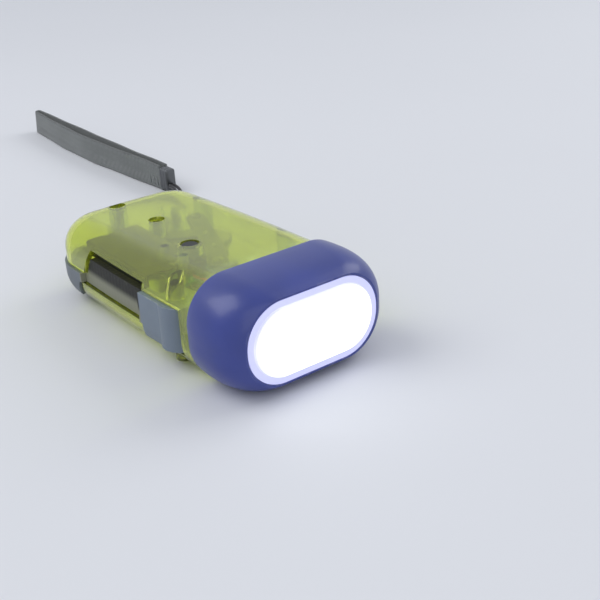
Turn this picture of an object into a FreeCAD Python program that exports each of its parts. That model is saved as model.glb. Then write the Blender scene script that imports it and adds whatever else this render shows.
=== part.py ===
import FreeCAD, Part

import math
import os

V = FreeCAD.Vector

# A pocket torch with a hand-pressed dynamo, lying on its broad side.
# Millimetres. +X is the way the beam goes, -Y is the side with the squeeze lever, +Z is up.
# The origin is under the middle of the torch, on the surface that it lies on.

# Whole torch
LENGTH = 105.0
BODY_WIDTH = 50.4
BODY_WIDTH_AT_HEAD = 48.4
BODY_WIDTH_AT_TAIL = 48.8
BODY_HEIGHT_AT_HEAD = 28.6
BODY_HEIGHT_AT_TAIL = 25.8
TAIL_CORNER_RADIUS = 13.0
TAIL_BOW = 1.2
EDGE_RADIUS = 9.6
WALL = 1.8
PART_LINE_Z = 13.2
HALF_GAP = 0.05

# Head
HEAD_LENGTH = 20.5
HEAD_WIDTH = 55.0
HEAD_HEIGHT = 30.6
HEAD_CORNER = 14.0
HEAD_BACK_NARROWER = 2.0
HEAD_BACK_LOWER = 0.6
HEAD_BACK_CORNER = 12.5
HEAD_WIDEST_FROM_BACK = 5.0
HEAD_ROUND_SHARE = 0.93
HEAD_ROUND_POWER = 2.4
HEAD_SECTIONS = 5
RIM_WIDTH = 42.4
RIM_HEIGHT = 23.6
RIM_CORNER_FLAT = 0.4
RIM_LIP = 0.5
HEAD_WALL = 1.8
SPIGOT_LENGTH = 3.6
COLLAR_WIDTH_STEP = 1.2
COLLAR_HEIGHT_STEP = 2.8
COLLAR_CORNER = 9.0
FLANGE_THICKNESS = 1.6
FIT_GAP = 0.12

# Lens, reflector and lamps
LENS_PROUD = 1.0
LENS_EDGE_RADIUS = 0.8
LENS_FLANGE_THICKNESS = 1.7
LENS_SEAT_THICKNESS = 1.8
LENS_FLANGE_WIDTH = 2.0
LAMP_COUNT = 3
LAMP_SPACING = 12.4
LAMP_RADIUS = 2.5
LAMP_LENGTH = 8.2
CUP_MOUTH_RADIUS = 6.0
CUP_DEPTH = 8.6
REFLECTOR_DEPTH = 10.4
REFLECTOR_GAP = 0.1
CUP_STEPS = 6
LAMP_BOARD_THICKNESS = 1.2

# Squeeze lever and its window in the side
PIVOT_X = 17.9
BLOCK_LENGTH = 11.9
PIVOT_FROM_SIDE = 5.2
NOSE_RADIUS = 6.2
LEVER_OPENING_DEG = 25.0
LEVER_PLATE = 3.2
BLOCK_PROUD = 1.1
PAD_PROUD = 0.7
FINGER_RECESS = 1.0
WINDOW_GAP = 0.4
WINDOW_FROM_TAIL = 2.2
TAIL_WINDOW_LENGTH = 13.8
NECK_LENGTH = 3.9
TOOTH_TIP_FROM_NECK = 2.2
TOOTH_SLOPE = 4.9
WINDOW_TAIL_Z = 3.0
WINDOW_SILL_Z = 9.4
WINDOW_BLOCK_LOW_Z = 5.6
WINDOW_BLOCK_TOP_Z = 19.6
WINDOW_TOP_Z = 21.8
FINGER_TOP_Z = 18.6
WEB_DEPTH = 5.3
TAIL_WEB_DEPTH = 3.3
PIN_RADIUS = 1.5
PIN_BOSS_RADIUS = 2.7
PIN_BOSS_GAP = 0.2
PIN_GRIP = 4.0
RUNNING_GAP = 0.05
TAIL_WEB_FROM_END = 8.0
WEB_FROM_SIDE = 2.5

# Return spring round the lever's pin
SPRING_RADIUS = 2.9
SPRING_WIRE = 0.35
SPRING_TURNS = 4
SPRING_TURN_GAP = 0.12
SPRING_POCKET_RADIUS = 4.1
SPRING_POCKET = 4.0
SPRING_LEG = 9.0
SPRING_SHORT_LEG = 2.0
SPRING_LEG_SHIFT = 0.02

# Gear train, with the first gear driven by the toothed arc on the lever
ARC_MODULE = 0.8
ARC_TEETH = 96
ARC_PINION_TEETH = 12
WHEEL_MODULE = 0.6
FIRST_WHEEL_TEETH = 32
SECOND_PINION_TEETH = 16
FAST_MODULE = 0.5
SECOND_WHEEL_TEETH = 30
FLYWHEEL_PINION_TEETH = 15
PRESSURE_ANGLE = 25.0
ADDENDUM = 0.8
DEDENDUM = 1.05
BACKLASH = 0.10
MESH_ANGLE = 156.5
SECOND_ANGLE = 55.0
FLYWHEEL_ANGLE = -20.0
ARC_SPARE_DEG = 6.0
ARC_RIM = 2.6
ARC_LEVEL = 10.2
ARC_THICKNESS = 2.6
WHEEL_THICKNESS = 1.6
LEVEL_GAP = 0.6
AXLE_RADIUS = 1.0
SHAFT_RADIUS = 0.75
COLLAR_RADIUS = 1.8
COLLAR_GAP = 0.4
GEAR_HUB_RADIUS = 2.4
SHOULDER = 0.2
FIRST_POST_RADIUS = 2.4
SECOND_POST_RADIUS = 1.35
LIGHTENING_RADIUS = 6.4
LIGHTENING_HOLE = 1.5
LIGHTENING_COUNT = 6

# Dynamo
FLYWHEEL_RADIUS = 9.6
FLYWHEEL_BOTTOM = 3.9
FLYWHEEL_HEIGHT = 5.5
FLYWHEEL_RIM = 2.0
FLYWHEEL_WEB = 1.4
MAGNET_THICKNESS = 1.4
MAGNET_HEIGHT = 3.4
AIR_GAP = 0.6
POLE_PLATE = 0.6
CORE_HUB_RADIUS = 2.0
CORE_BOTTOM = 3.2
CORE_HEIGHT = 4.2
CORE_BORE_RADIUS = 1.0
CORE_POST_RADIUS = 2.8
COIL_INSET = 1.0
POLE_NOTCH = 0.9
POLE_COUNT = 6
FLYWHEEL_HOLES = 3
FLYWHEEL_HOLE_RADIUS = 1.5

# Gear plate on three posts
PLATE_THICKNESS = 1.2
PLATE_ARM_WIDTH = 6.0
POST_RADIUS = 1.9
FIRST_POST_SHIFT = (-11.4, 7.0)
SECOND_POST_SHIFT = (-13.5, 5.0)
FLYWHEEL_POST_SHIFT = (11.6, -6.0)
SMALL_SCREW_HEAD_RADIUS = 1.6
SMALL_SCREW_HEAD = 0.9
SMALL_SCREW_RADIUS = 0.7
SMALL_SCREW_LENGTH = 4.0
SMALL_SLOT_WIDTH = 0.4
SMALL_SLOT_DEPTH = 0.4

# Switch and its board
BUTTON_XY = (3.7, -6.8)
BUTTON_RADIUS = 2.6
BUTTON_GAP = 0.15
BUTTON_TRAVEL = 0.8
BUTTON_SUNK = 0.35
BUTTON_FLANGE = 0.8
BUTTON_FLANGE_THICKNESS = 0.6
GUIDE_WALL = 1.0
GUIDE_DEPTH = 2.4
BOARD_THICKNESS = 1.0
BOARD_TOP_Z = 19.0
BOARD_X = (-3.0, 11.0)
BOARD_Y = (-14.0, -3.4)
SWITCH_SIDE = 6.0
SWITCH_HEIGHT = 2.3
SWITCH_STEM_RADIUS = 1.4
BUTTON_EDGE_RADIUS = 0.5
BOARD_POST_RADIUS = 1.3
BOARD_POST_INSET = 1.8

# Rechargeable cell
CELL_FROM_HEAD = 9.6
CELL_Y = 8.2
CELL_RADIUS = 7.6
CELL_HEIGHT = 16.0
CELL_CAP_RADIUS = 5.6
CELL_CAP_HEIGHT = 0.4
CELL_EDGE_RADIUS = 0.7
CLIP_REACH = 6.0
CLIP_GAP = 0.25
CLIP_THICKNESS = 0.3
CLIP_WIDTH = 5.0
CRADLE_THICKNESS = 1.2
CRADLE_HEIGHT = 6.0
CRADLE_GAP = 0.3
LEAD_RADIUS = 0.5
LEAD_YS = (-8.4, -6.2)
LEAD_SHIFTS = [(-2.5, 0.0, 0.0), (5.0, 0.5, 0.8), (13.0, 0.2, -0.4)]
LEAD_END = (6.0, 0.8)

# Casing screws: place and whether the head is in the top face
TOP_SCREW_FROM_TAIL = 9.0
TOP_SCREW_Y = -4.6
HEAD_SCREW_FROM_HEAD = 18.6
HEAD_SCREW_FROM_SIDE = 5.0
TAIL_SCREW_FROM_TAIL = 21.9
TAIL_SCREW_FROM_SIDE = 6.0
SCREW_HEAD_RADIUS = 2.1
SCREW_HEAD_HEIGHT = 1.4
SCREW_SHANK_RADIUS = 1.1
SCREW_RECESS_RADIUS = 2.6
SCREW_RECESS_DEPTH = 3.2
SCREW_SLOT = (3.0, 0.5, 0.7)
BOSS_RADIUS = 2.9
TAIL_BOSS_RADIUS = 2.5
BOSS_ROOT = 0.3
SCREW_GRIP = 7.0
AXLE_RECESS_RADIUS = 2.5
AXLE_RECESS_DEPTH = 1.0

# Lever lock in the bottom face
CATCH_FROM_TAIL = 14.5
CATCH_FROM_SIDE = 16.7
CATCH_WIDTH = 3.0
CATCH_THICKNESS = 1.4
CATCH_LOW_Z = 6.2
LOCK_TRAVEL = 3.0
LOCK_PAD = (7.0, 5.0, 1.1)
LOCK_POCKET_DEPTH = 1.2
LOCK_STEM = (3.0, 2.0)
LOCK_SIDE_GAP = 1.2
LOCK_HEAD_GAP = 0.6
LOCK_SHIFT = 2.4
LOCK_GAP = 0.3
LOCK_FLANGE = (6.0, 5.0, 0.9)
LOCK_FLANGE_GAP = 0.4
LOCK_RIBS = 4
LOCK_GROOVE = (0.7, 0.4)

# Strap pin in the tail corner
STRAP_PIN_FROM_TAIL = 6.5
STRAP_PIN_FROM_SIDE = 8.2
STRAP_PIN_RADIUS = 1.0
STRAP_POCKET_RADIUS = 3.4
STRAP_POCKET_Z = (9.4, 16.4)
STRAP_POCKET_WALL = 1.2
STRAP_DIRECTION = 153.4

# Wrist strap: a thin cord looped round the pin, a crimp, and a loop of webbing that stands on its edge
CORD_RADIUS = 0.65
CORD_ROUTE = [
    (-107.0, 52.1, 3.1),
    (-102.2, 52.1, 3.1),
    (-95.5, 49.4, 0.72),
    (-77.5, 39.1, 0.80),
    (-60.2, 27.0, 4.6),
    (-49.6, 20.95, 12.3),
    (-43.38, 17.87, 12.9),
    (-45.13, 14.38, 12.9),
    (-51.37, 17.46, 12.3),
    (-61.8, 24.0, 4.4),
    (-78.5, 36.4, 0.80),
    (-95.5, 47.2, 0.72),
    (-102.2, 50.3, 3.1),
    (-107.0, 50.3, 3.1),
]
BAND_WIDTH = 10.6
BAND_LAYER = 1.1
BAND_ROUTE = [
    (-112.0, 51.2),
    (-119.0, 51.2),
    (-142.0, 50.4),
    (-172.0, 49.8),
    (-204.0, 50.8),
    (-231.0, 52.4),
]
BAND_SPREAD = [1.2, 1.3, 2.2, 3.8, 3.2, 1.4]
CRIMP_LENGTH = 5.0
CRIMP_WIDTH = 4.4
CRIMP_HEIGHT = 9.0
CRIMP_EDGE_RADIUS = 1.0

# Worked out from the sizes above
TAIL_X = -LENGTH / 2
FACE_X = LENGTH / 2 - LENS_PROUD
HEAD_BACK_X = LENGTH / 2 - HEAD_LENGTH
HEAD_BACK_WIDTH = HEAD_WIDTH - HEAD_BACK_NARROWER
HEAD_BACK_HEIGHT = HEAD_HEIGHT - HEAD_BACK_LOWER
SIDE_Y = BODY_WIDTH / 2
WINDOW_TAIL_X = TAIL_X + WINDOW_FROM_TAIL
WINDOW_TAIL_LOW_X = WINDOW_TAIL_X + TAIL_WINDOW_LENGTH
WINDOW_NECK_X = WINDOW_TAIL_LOW_X + NECK_LENGTH
WINDOW_TOOTH_TIP_X = WINDOW_NECK_X + TOOTH_TIP_FROM_NECK
WINDOW_TOOTH_TOP_X = WINDOW_TOOTH_TIP_X + TOOTH_SLOPE
WINDOW_BLOCK_X = PIVOT_X - BLOCK_LENGTH
CELL_XY = (HEAD_BACK_X - CELL_FROM_HEAD, CELL_Y)
TOP_SCREW_XY = (TAIL_X + TOP_SCREW_FROM_TAIL, TOP_SCREW_Y)
LOW_SCREWS = [(HEAD_BACK_X - HEAD_SCREW_FROM_HEAD, SIDE_Y - HEAD_SCREW_FROM_SIDE),
              (TAIL_X + TAIL_SCREW_FROM_TAIL, SIDE_Y - TAIL_SCREW_FROM_SIDE)]
CATCH_XY = (TAIL_X + CATCH_FROM_TAIL, -SIDE_Y + CATCH_FROM_SIDE)
STRAP_PIN_XY = (TAIL_X + STRAP_PIN_FROM_TAIL, SIDE_Y - STRAP_PIN_FROM_SIDE)
WIDEST_X = HEAD_BACK_X + HEAD_WIDEST_FROM_BACK
HEAD_Z = HEAD_HEIGHT / 2
SEAT_X = FACE_X - LENS_FLANGE_THICKNESS
RIM_CORNER = RIM_HEIGHT / 2 - RIM_CORNER_FLAT
MOUTH_WIDTH = RIM_WIDTH - 2 * LENS_FLANGE_WIDTH
MOUTH_HEIGHT = RIM_HEIGHT - 2 * LENS_FLANGE_WIDTH
MOUTH_CORNER = MOUTH_HEIGHT / 2 - RIM_CORNER_FLAT
REFLECTOR_FRONT = SEAT_X - REFLECTOR_GAP
REFLECTOR_BACK = REFLECTOR_FRONT - REFLECTOR_DEPTH
LAMP_YS = [(i - (LAMP_COUNT - 1) / 2) * LAMP_SPACING for i in range(LAMP_COUNT)]
PIVOT_Y = -SIDE_Y + PIVOT_FROM_SIDE
NOSE_LOW = WINDOW_BLOCK_LOW_Z + WINDOW_GAP
NOSE_TOP = WINDOW_BLOCK_TOP_Z - WINDOW_GAP
PIN_TOP = WINDOW_BLOCK_TOP_Z + PIN_GRIP
WEB_LOW = WINDOW_SILL_Z + WINDOW_GAP
WEB_TOP = PART_LINE_Z - WINDOW_GAP
ARC_R = ARC_MODULE * ARC_TEETH / 2
FAR = 200.0


def polar(centre, radius, degrees):
    """A point at a distance and an angle from another point in plan."""
    angle = math.radians(degrees)
    return (centre[0] + radius * math.cos(angle), centre[1] + radius * math.sin(angle))


def mesh_distance(module, teeth_a, teeth_b):
    """The distance between the axes of two gears in mesh."""
    return module * (teeth_a + teeth_b) / 2


PIVOT = (PIVOT_X, PIVOT_Y)
FIRST = polar(PIVOT, mesh_distance(ARC_MODULE, ARC_TEETH, ARC_PINION_TEETH), MESH_ANGLE)
SECOND = polar(FIRST, mesh_distance(WHEEL_MODULE, FIRST_WHEEL_TEETH, SECOND_PINION_TEETH), SECOND_ANGLE)
FLYWHEEL = polar(SECOND, mesh_distance(FAST_MODULE, SECOND_WHEEL_TEETH, FLYWHEEL_PINION_TEETH), FLYWHEEL_ANGLE)

POSTS = [(FIRST[0] + FIRST_POST_SHIFT[0], FIRST[1] + FIRST_POST_SHIFT[1]),
         (SECOND[0] + SECOND_POST_SHIFT[0], SECOND[1] + SECOND_POST_SHIFT[1]),
         (FLYWHEEL[0] + FLYWHEEL_POST_SHIFT[0], FLYWHEEL[1] + FLYWHEEL_POST_SHIFT[1])]

ARC_TOP = ARC_LEVEL + ARC_THICKNESS
FIRST_WHEEL_Z = ARC_TOP + 2 * LEVEL_GAP
SECOND_WHEEL_Z = FIRST_WHEEL_Z + WHEEL_THICKNESS + 2 * LEVEL_GAP
PLATE_Z = SECOND_WHEEL_Z + WHEEL_THICKNESS + LEVEL_GAP
CORE_TOP = CORE_BOTTOM + CORE_HEIGHT
CORE_RADIUS = FLYWHEEL_RADIUS - FLYWHEEL_RIM - MAGNET_THICKNESS - AIR_GAP
FLYWHEEL_TOP = FLYWHEEL_BOTTOM + FLYWHEEL_HEIGHT
PLATE_TOP = PLATE_Z + PLATE_THICKNESS
CELL_Z = WALL + CLIP_THICKNESS
LOCK_X = CATCH_XY[0] - CATCH_WIDTH / 2 - LOCK_STEM[0] / 2 - LOCK_SIDE_GAP
LOCK_Y = CATCH_XY[1] - CATCH_THICKNESS / 2 - LOCK_STEM[1] / 2 - LOCK_HEAD_GAP


def box(x0, y0, z0, x1, y1, z1):
    """A box between two corners."""
    return Part.makeBox(x1 - x0, y1 - y0, z1 - z0, V(x0, y0, z0))


def disc(xy, radius, z0, z1):
    """An upright cylinder."""
    return Part.makeCylinder(radius, z1 - z0, V(xy[0], xy[1], z0))


def ring(xy, outer, inner, z0, z1):
    """An upright tube."""
    return disc(xy, outer, z0, z1).cut(disc(xy, inner, z0, z1))


def fuse(first, *others):
    """Join solids into one, with no seams left on flat faces."""
    joined = first
    for other in others:
        joined = joined.fuse(other)
    return joined.removeSplitter()


def prism(points, z0, z1):
    """An upright prism over a closed outline in plan."""
    wire = Part.makePolygon([V(x, y, z0) for x, y in points] + [V(points[0][0], points[0][1], z0)])
    return Part.Face(wire).extrude(V(0, 0, z1 - z0))


def side_prism(points, y0, y1):
    """A prism across the torch, over an outline given as (x, z)."""
    wire = Part.makePolygon([V(x, y0, z) for x, z in points] + [V(points[0][0], y0, points[0][1])])
    return Part.Face(wire).extrude(V(0, y1 - y0, 0))


def top_z(x):
    """Height of the sloping top face at a distance along the torch."""
    share = (x - TAIL_X) / (HEAD_BACK_X - TAIL_X)
    return BODY_HEIGHT_AT_TAIL + share * (BODY_HEIGHT_AT_HEAD - BODY_HEIGHT_AT_TAIL)


def body_form(inset):
    """The casing's outer form, made smaller all round by an inset, or larger by a negative one."""
    tail = TAIL_X + TAIL_BOW + inset
    front = HEAD_BACK_X
    half_tail = BODY_WIDTH_AT_TAIL / 2 - inset
    half_mid = BODY_WIDTH / 2 - inset
    half_head = BODY_WIDTH_AT_HEAD / 2 - inset
    middle = (tail + front) / 2
    edges = [
        Part.Arc(V(tail, -half_tail, 0), V(middle, -half_mid, 0), V(front, -half_head, 0)).toShape(),
        Part.LineSegment(V(front, -half_head, 0), V(front, half_head, 0)).toShape(),
        Part.Arc(V(front, half_head, 0), V(middle, half_mid, 0), V(tail, half_tail, 0)).toShape(),
        Part.Arc(V(tail, half_tail, 0), V(tail - TAIL_BOW, 0, 0), V(tail, -half_tail, 0)).toShape(),
    ]
    form = Part.Face(Part.Wire(edges)).extrude(V(0, 0, BODY_HEIGHT_AT_HEAD + HEAD_HEIGHT))
    form.translate(V(0, 0, inset))
    corners = [e for e in form.Edges if is_tail_corner(e)]
    form = form.makeFillet(TAIL_CORNER_RADIUS - inset, corners)
    low_x = TAIL_X - FAR
    slope = [
        (low_x, top_z(low_x) - inset),
        (FAR, top_z(FAR) - inset),
        (FAR, FAR),
        (low_x, FAR),
    ]
    form = form.cut(side_prism(slope, -FAR, FAR))
    rims = [e for e in form.Edges if is_rim(e)]
    return form.makeFillet(EDGE_RADIUS - inset, rims)


def is_tail_corner(edge):
    """An upright edge at the tail end."""
    box_of = edge.BoundBox
    return box_of.XLength < 0.01 and box_of.YLength < 0.01 and box_of.XMax < 0


def is_rim(edge):
    """An edge round the top or bottom face, apart from those on the front end."""
    box_of = edge.BoundBox
    return box_of.ZLength < BODY_HEIGHT_AT_TAIL / 3 and box_of.XMin < HEAD_BACK_X - 1


def stadium(x, width, height, corner):
    """A wire across the beam: a rectangle with round corners."""
    half_w = width / 2 - corner
    half_h = height / 2 - corner
    diagonal = corner * math.sqrt(0.5)
    edges = []
    start = V(x, -half_w, HEAD_Z - half_h - corner)
    for side_y, side_z in [(1, -1), (1, 1), (-1, 1), (-1, -1)]:
        centre_y = side_y * half_w
        centre_z = HEAD_Z + side_z * half_h
        if side_y * side_z < 0:
            into = V(x, centre_y, centre_z + side_z * corner)
            out = V(x, centre_y + side_y * corner, centre_z)
        else:
            into = V(x, centre_y + side_y * corner, centre_z)
            out = V(x, centre_y, centre_z + side_z * corner)
        middle = V(x, centre_y + side_y * diagonal, centre_z + side_z * diagonal)
        if (into - start).Length > 1e-6:
            edges.append(Part.LineSegment(start, into).toShape())
        edges.append(Part.Arc(into, middle, out).toShape())
        start = out
    first = V(x, -half_w, HEAD_Z - half_h - corner)
    if (first - start).Length > 1e-6:
        edges.append(Part.LineSegment(start, first).toShape())
    return Part.Wire(edges)


def stadium_block(x0, x1, width, height, corner):
    """A solid stadium section between two places along the beam."""
    return Part.Face(stadium(x0, width, height, corner)).extrude(V(x1 - x0, 0, 0))


def head_form(inset):
    """The head's smooth form: widest near its back, rounding down to the lens rim."""
    sections = [[HEAD_BACK_X, HEAD_BACK_WIDTH, HEAD_BACK_HEIGHT, HEAD_BACK_CORNER]]
    front_width = RIM_WIDTH + 2 * RIM_LIP
    front_height = RIM_HEIGHT + 2 * RIM_LIP
    whole = 1 - math.sqrt(1 - HEAD_ROUND_SHARE ** HEAD_ROUND_POWER)
    for step in range(HEAD_SECTIONS + 1):
        along = step / HEAD_SECTIONS
        share = (1 - math.sqrt(1 - (HEAD_ROUND_SHARE * along) ** HEAD_ROUND_POWER)) / whole
        sections.append([
            WIDEST_X + (FACE_X - WIDEST_X) * along,
            HEAD_WIDTH + share * (front_width - HEAD_WIDTH),
            HEAD_HEIGHT + share * (front_height - HEAD_HEIGHT),
            HEAD_CORNER + share * (RIM_CORNER - HEAD_CORNER),
        ])
    wires = [stadium(x, w - 2 * inset, h - 2 * inset, c - inset) for x, w, h, c in sections]
    return Part.makeLoft(wires, True, False)


def head_bezel():
    """The dark blue head shell with the seat that the lens drops into."""
    ledge_x = SEAT_X - LENS_SEAT_THICKNESS
    hollow = head_form(HEAD_WALL).common(box(HEAD_BACK_X - 1, -FAR, -FAR, ledge_x, FAR, FAR))
    mouth = stadium_block(ledge_x - 1, FACE_X + 1, MOUTH_WIDTH, MOUTH_HEIGHT, MOUTH_CORNER)
    seat = stadium_block(SEAT_X, FACE_X + 1, RIM_WIDTH, RIM_HEIGHT, RIM_CORNER)
    return head_form(0).cut(hollow).cut(mouth).cut(seat)


def head_filling(x0, x1):
    """A stadium block that fits the head's mouth."""
    return stadium_block(x0, x1, MOUTH_WIDTH - 2 * FIT_GAP, MOUTH_HEIGHT - 2 * FIT_GAP, MOUTH_CORNER - FIT_GAP)


def lens():
    """The clear window: a flange in the seat and a raised middle."""
    flange = stadium_block(SEAT_X, FACE_X, RIM_WIDTH - 2 * FIT_GAP, RIM_HEIGHT - 2 * FIT_GAP,
                           RIM_CORNER - FIT_GAP)
    raised = head_filling(FACE_X - LENS_FLANGE_THICKNESS / 2, FACE_X + LENS_PROUD)
    front = [e for e in raised.Edges if e.BoundBox.XMin > FACE_X + LENS_PROUD - 0.01]
    raised = raised.makeFillet(LENS_EDGE_RADIUS, front)
    return fuse(flange, raised)


def cup(y):
    """The hollow of one reflector cup: a parabola turned about the lamp's axis, with the lamp's hole."""
    bottom = REFLECTOR_FRONT - CUP_DEPTH
    hole = LAMP_RADIUS + FIT_GAP
    points = []
    for step in range(CUP_STEPS + 1):
        share = step / CUP_STEPS
        radius = hole + (CUP_MOUTH_RADIUS - hole) * math.sqrt(share)
        points.append(V(bottom + CUP_DEPTH * share, y + radius, HEAD_Z))
    curve = Part.BSplineCurve()
    curve.interpolate(points)
    front = V(REFLECTOR_FRONT, y, HEAD_Z)
    back = V(REFLECTOR_BACK - 1, y, HEAD_Z)
    edges = [
        Part.LineSegment(back, V(back.x, y + hole, HEAD_Z)).toShape(),
        Part.LineSegment(V(back.x, y + hole, HEAD_Z), points[0]).toShape(),
        curve.toShape(),
        Part.LineSegment(points[-1], front).toShape(),
        Part.LineSegment(front, back).toShape(),
    ]
    return Part.Face(Part.Wire(edges)).revolve(front, V(1, 0, 0), 360)


def reflector():
    """The bright block with one cup for each lamp."""
    block = head_filling(REFLECTOR_BACK, REFLECTOR_FRONT)
    for y in LAMP_YS:
        block = block.cut(cup(y))
    return block


def lamps():
    """Round-nosed lamps, one in each cup, standing on the lamp board."""
    solids = []
    for y in LAMP_YS:
        foot = V(REFLECTOR_BACK, y, HEAD_Z)
        stem = Part.makeCylinder(LAMP_RADIUS, LAMP_LENGTH - LAMP_RADIUS, foot, V(1, 0, 0))
        nose = Part.makeSphere(LAMP_RADIUS, V(REFLECTOR_BACK + LAMP_LENGTH - LAMP_RADIUS, y, HEAD_Z))
        solids.append(fuse(stem, nose))
    return Part.makeCompound(solids)


def lamp_board():
    """The small board behind the reflector."""
    return head_filling(REFLECTOR_BACK - LAMP_BOARD_THICKNESS, REFLECTOR_BACK)


def window_outline(gap):
    """The side window as (x, z) points, made smaller all round by a gap."""
    return [
        (WINDOW_TAIL_X + gap, WINDOW_TAIL_Z + gap),
        (WINDOW_TAIL_LOW_X - gap, WINDOW_TAIL_Z + gap),
        (WINDOW_NECK_X - gap, WINDOW_SILL_Z + gap),
        (WINDOW_BLOCK_X + gap, WINDOW_SILL_Z + gap),
        (WINDOW_BLOCK_X + gap, WINDOW_BLOCK_LOW_Z + gap),
        (PIVOT_X + NOSE_RADIUS + WINDOW_GAP - gap, WINDOW_BLOCK_LOW_Z + gap),
        (PIVOT_X + NOSE_RADIUS + WINDOW_GAP - gap, WINDOW_BLOCK_TOP_Z - gap),
        (WINDOW_BLOCK_X - gap, WINDOW_BLOCK_TOP_Z - gap),
        (WINDOW_BLOCK_X - gap, WINDOW_TOP_Z - gap),
        (WINDOW_TOOTH_TOP_X + gap, WINDOW_TOP_Z - gap),
        (WINDOW_TOOTH_TIP_X + gap, PART_LINE_Z - gap),
        (WINDOW_TAIL_X + gap, PART_LINE_Z - gap),
    ]


def window():
    """The cut through the side wall that the lever moves in."""
    return side_prism(window_outline(0), -FAR, PIVOT_Y + NOSE_RADIUS)


def casing():
    """The hollow casing with its head collar, before it is split into its two halves."""
    return body_form(0).cut(body_form(WALL)).fuse(spigot())


def spigot():
    """The collar that the head slips over, with the flange that joins it to the casing."""
    start = HEAD_BACK_X - FLANGE_THICKNESS
    width = HEAD_BACK_WIDTH - 2 * HEAD_WALL - 2 * FIT_GAP
    height = HEAD_BACK_HEIGHT - 2 * HEAD_WALL - 2 * FIT_GAP
    corner = HEAD_BACK_CORNER - HEAD_WALL - FIT_GAP
    outer = stadium_block(HEAD_BACK_X, HEAD_BACK_X + SPIGOT_LENGTH, width, height, corner)
    hole = stadium_block(start - 1, HEAD_BACK_X + SPIGOT_LENGTH + 1, BODY_WIDTH_AT_HEAD - 2 * COLLAR_WIDTH_STEP,
                         BODY_HEIGHT_AT_HEAD - 2 * COLLAR_HEIGHT_STEP, COLLAR_CORNER)
    flange = body_form(0).common(box(start, -FAR, -FAR, HEAD_BACK_X, FAR, FAR))
    return flange.fuse(outer).cut(hole)


def strap_pocket(grow):
    """The pocket in the tail corner that the cord goes into, with its mouth towards the tail."""
    radius = STRAP_POCKET_RADIUS + grow
    z0 = STRAP_POCKET_Z[0] - grow
    z1 = STRAP_POCKET_Z[1] + grow
    round_end = disc(STRAP_PIN_XY, radius, z0, z1)
    mouth = box(0, -radius, z0, 30, radius, z1)
    mouth.rotate(V(0, 0, 0), V(0, 0, 1), STRAP_DIRECTION)
    mouth.translate(V(STRAP_PIN_XY[0], STRAP_PIN_XY[1], 0))
    return fuse(round_end, mouth)


def strap_pin():
    """The steel pin that the cord goes round."""
    reach = STRAP_POCKET_WALL
    return disc(STRAP_PIN_XY, STRAP_PIN_RADIUS, STRAP_POCKET_Z[0] - reach, STRAP_POCKET_Z[1] + reach)


def screw_at(xy, head_z, up):
    """A casing screw; up is 1 where its head faces up and -1 where it faces down."""
    tip_z = head_z - up * (SCREW_HEAD_HEIGHT + SCREW_GRIP)
    head = disc(xy, SCREW_HEAD_RADIUS, min(head_z, head_z - up * SCREW_HEAD_HEIGHT),
                max(head_z, head_z - up * SCREW_HEAD_HEIGHT))
    shank = disc(xy, SCREW_SHANK_RADIUS, min(head_z, tip_z), max(head_z, tip_z))
    half_long = SCREW_SLOT[0] / 2
    half_wide = SCREW_SLOT[1] / 2
    slot_z = sorted([head_z - up * SCREW_SLOT[2], head_z + up])
    long_slot = box(xy[0] - half_long, xy[1] - half_wide, slot_z[0], xy[0] + half_long, xy[1] + half_wide,
                    slot_z[1])
    cross_slot = box(xy[0] - half_wide, xy[1] - half_long, slot_z[0], xy[0] + half_wide, xy[1] + half_long,
                     slot_z[1])
    return fuse(head, shank).cut(long_slot).cut(cross_slot)


TOP_SCREW_SEAT = top_z(TOP_SCREW_XY[0]) - SCREW_RECESS_DEPTH


def case_screws():
    """The three screws that hold the halves together."""
    solids = [screw_at(TOP_SCREW_XY, TOP_SCREW_SEAT + SCREW_HEAD_HEIGHT, 1)]
    for xy in LOW_SCREWS:
        solids.append(screw_at(xy, SCREW_RECESS_DEPTH - SCREW_HEAD_HEIGHT, -1))
    return Part.makeCompound(solids)


def hole_for_screw(xy, z0, z1):
    """A hole that the screw's shank fits."""
    return disc(xy, SCREW_SHANK_RADIUS, z0, z1)


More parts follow.
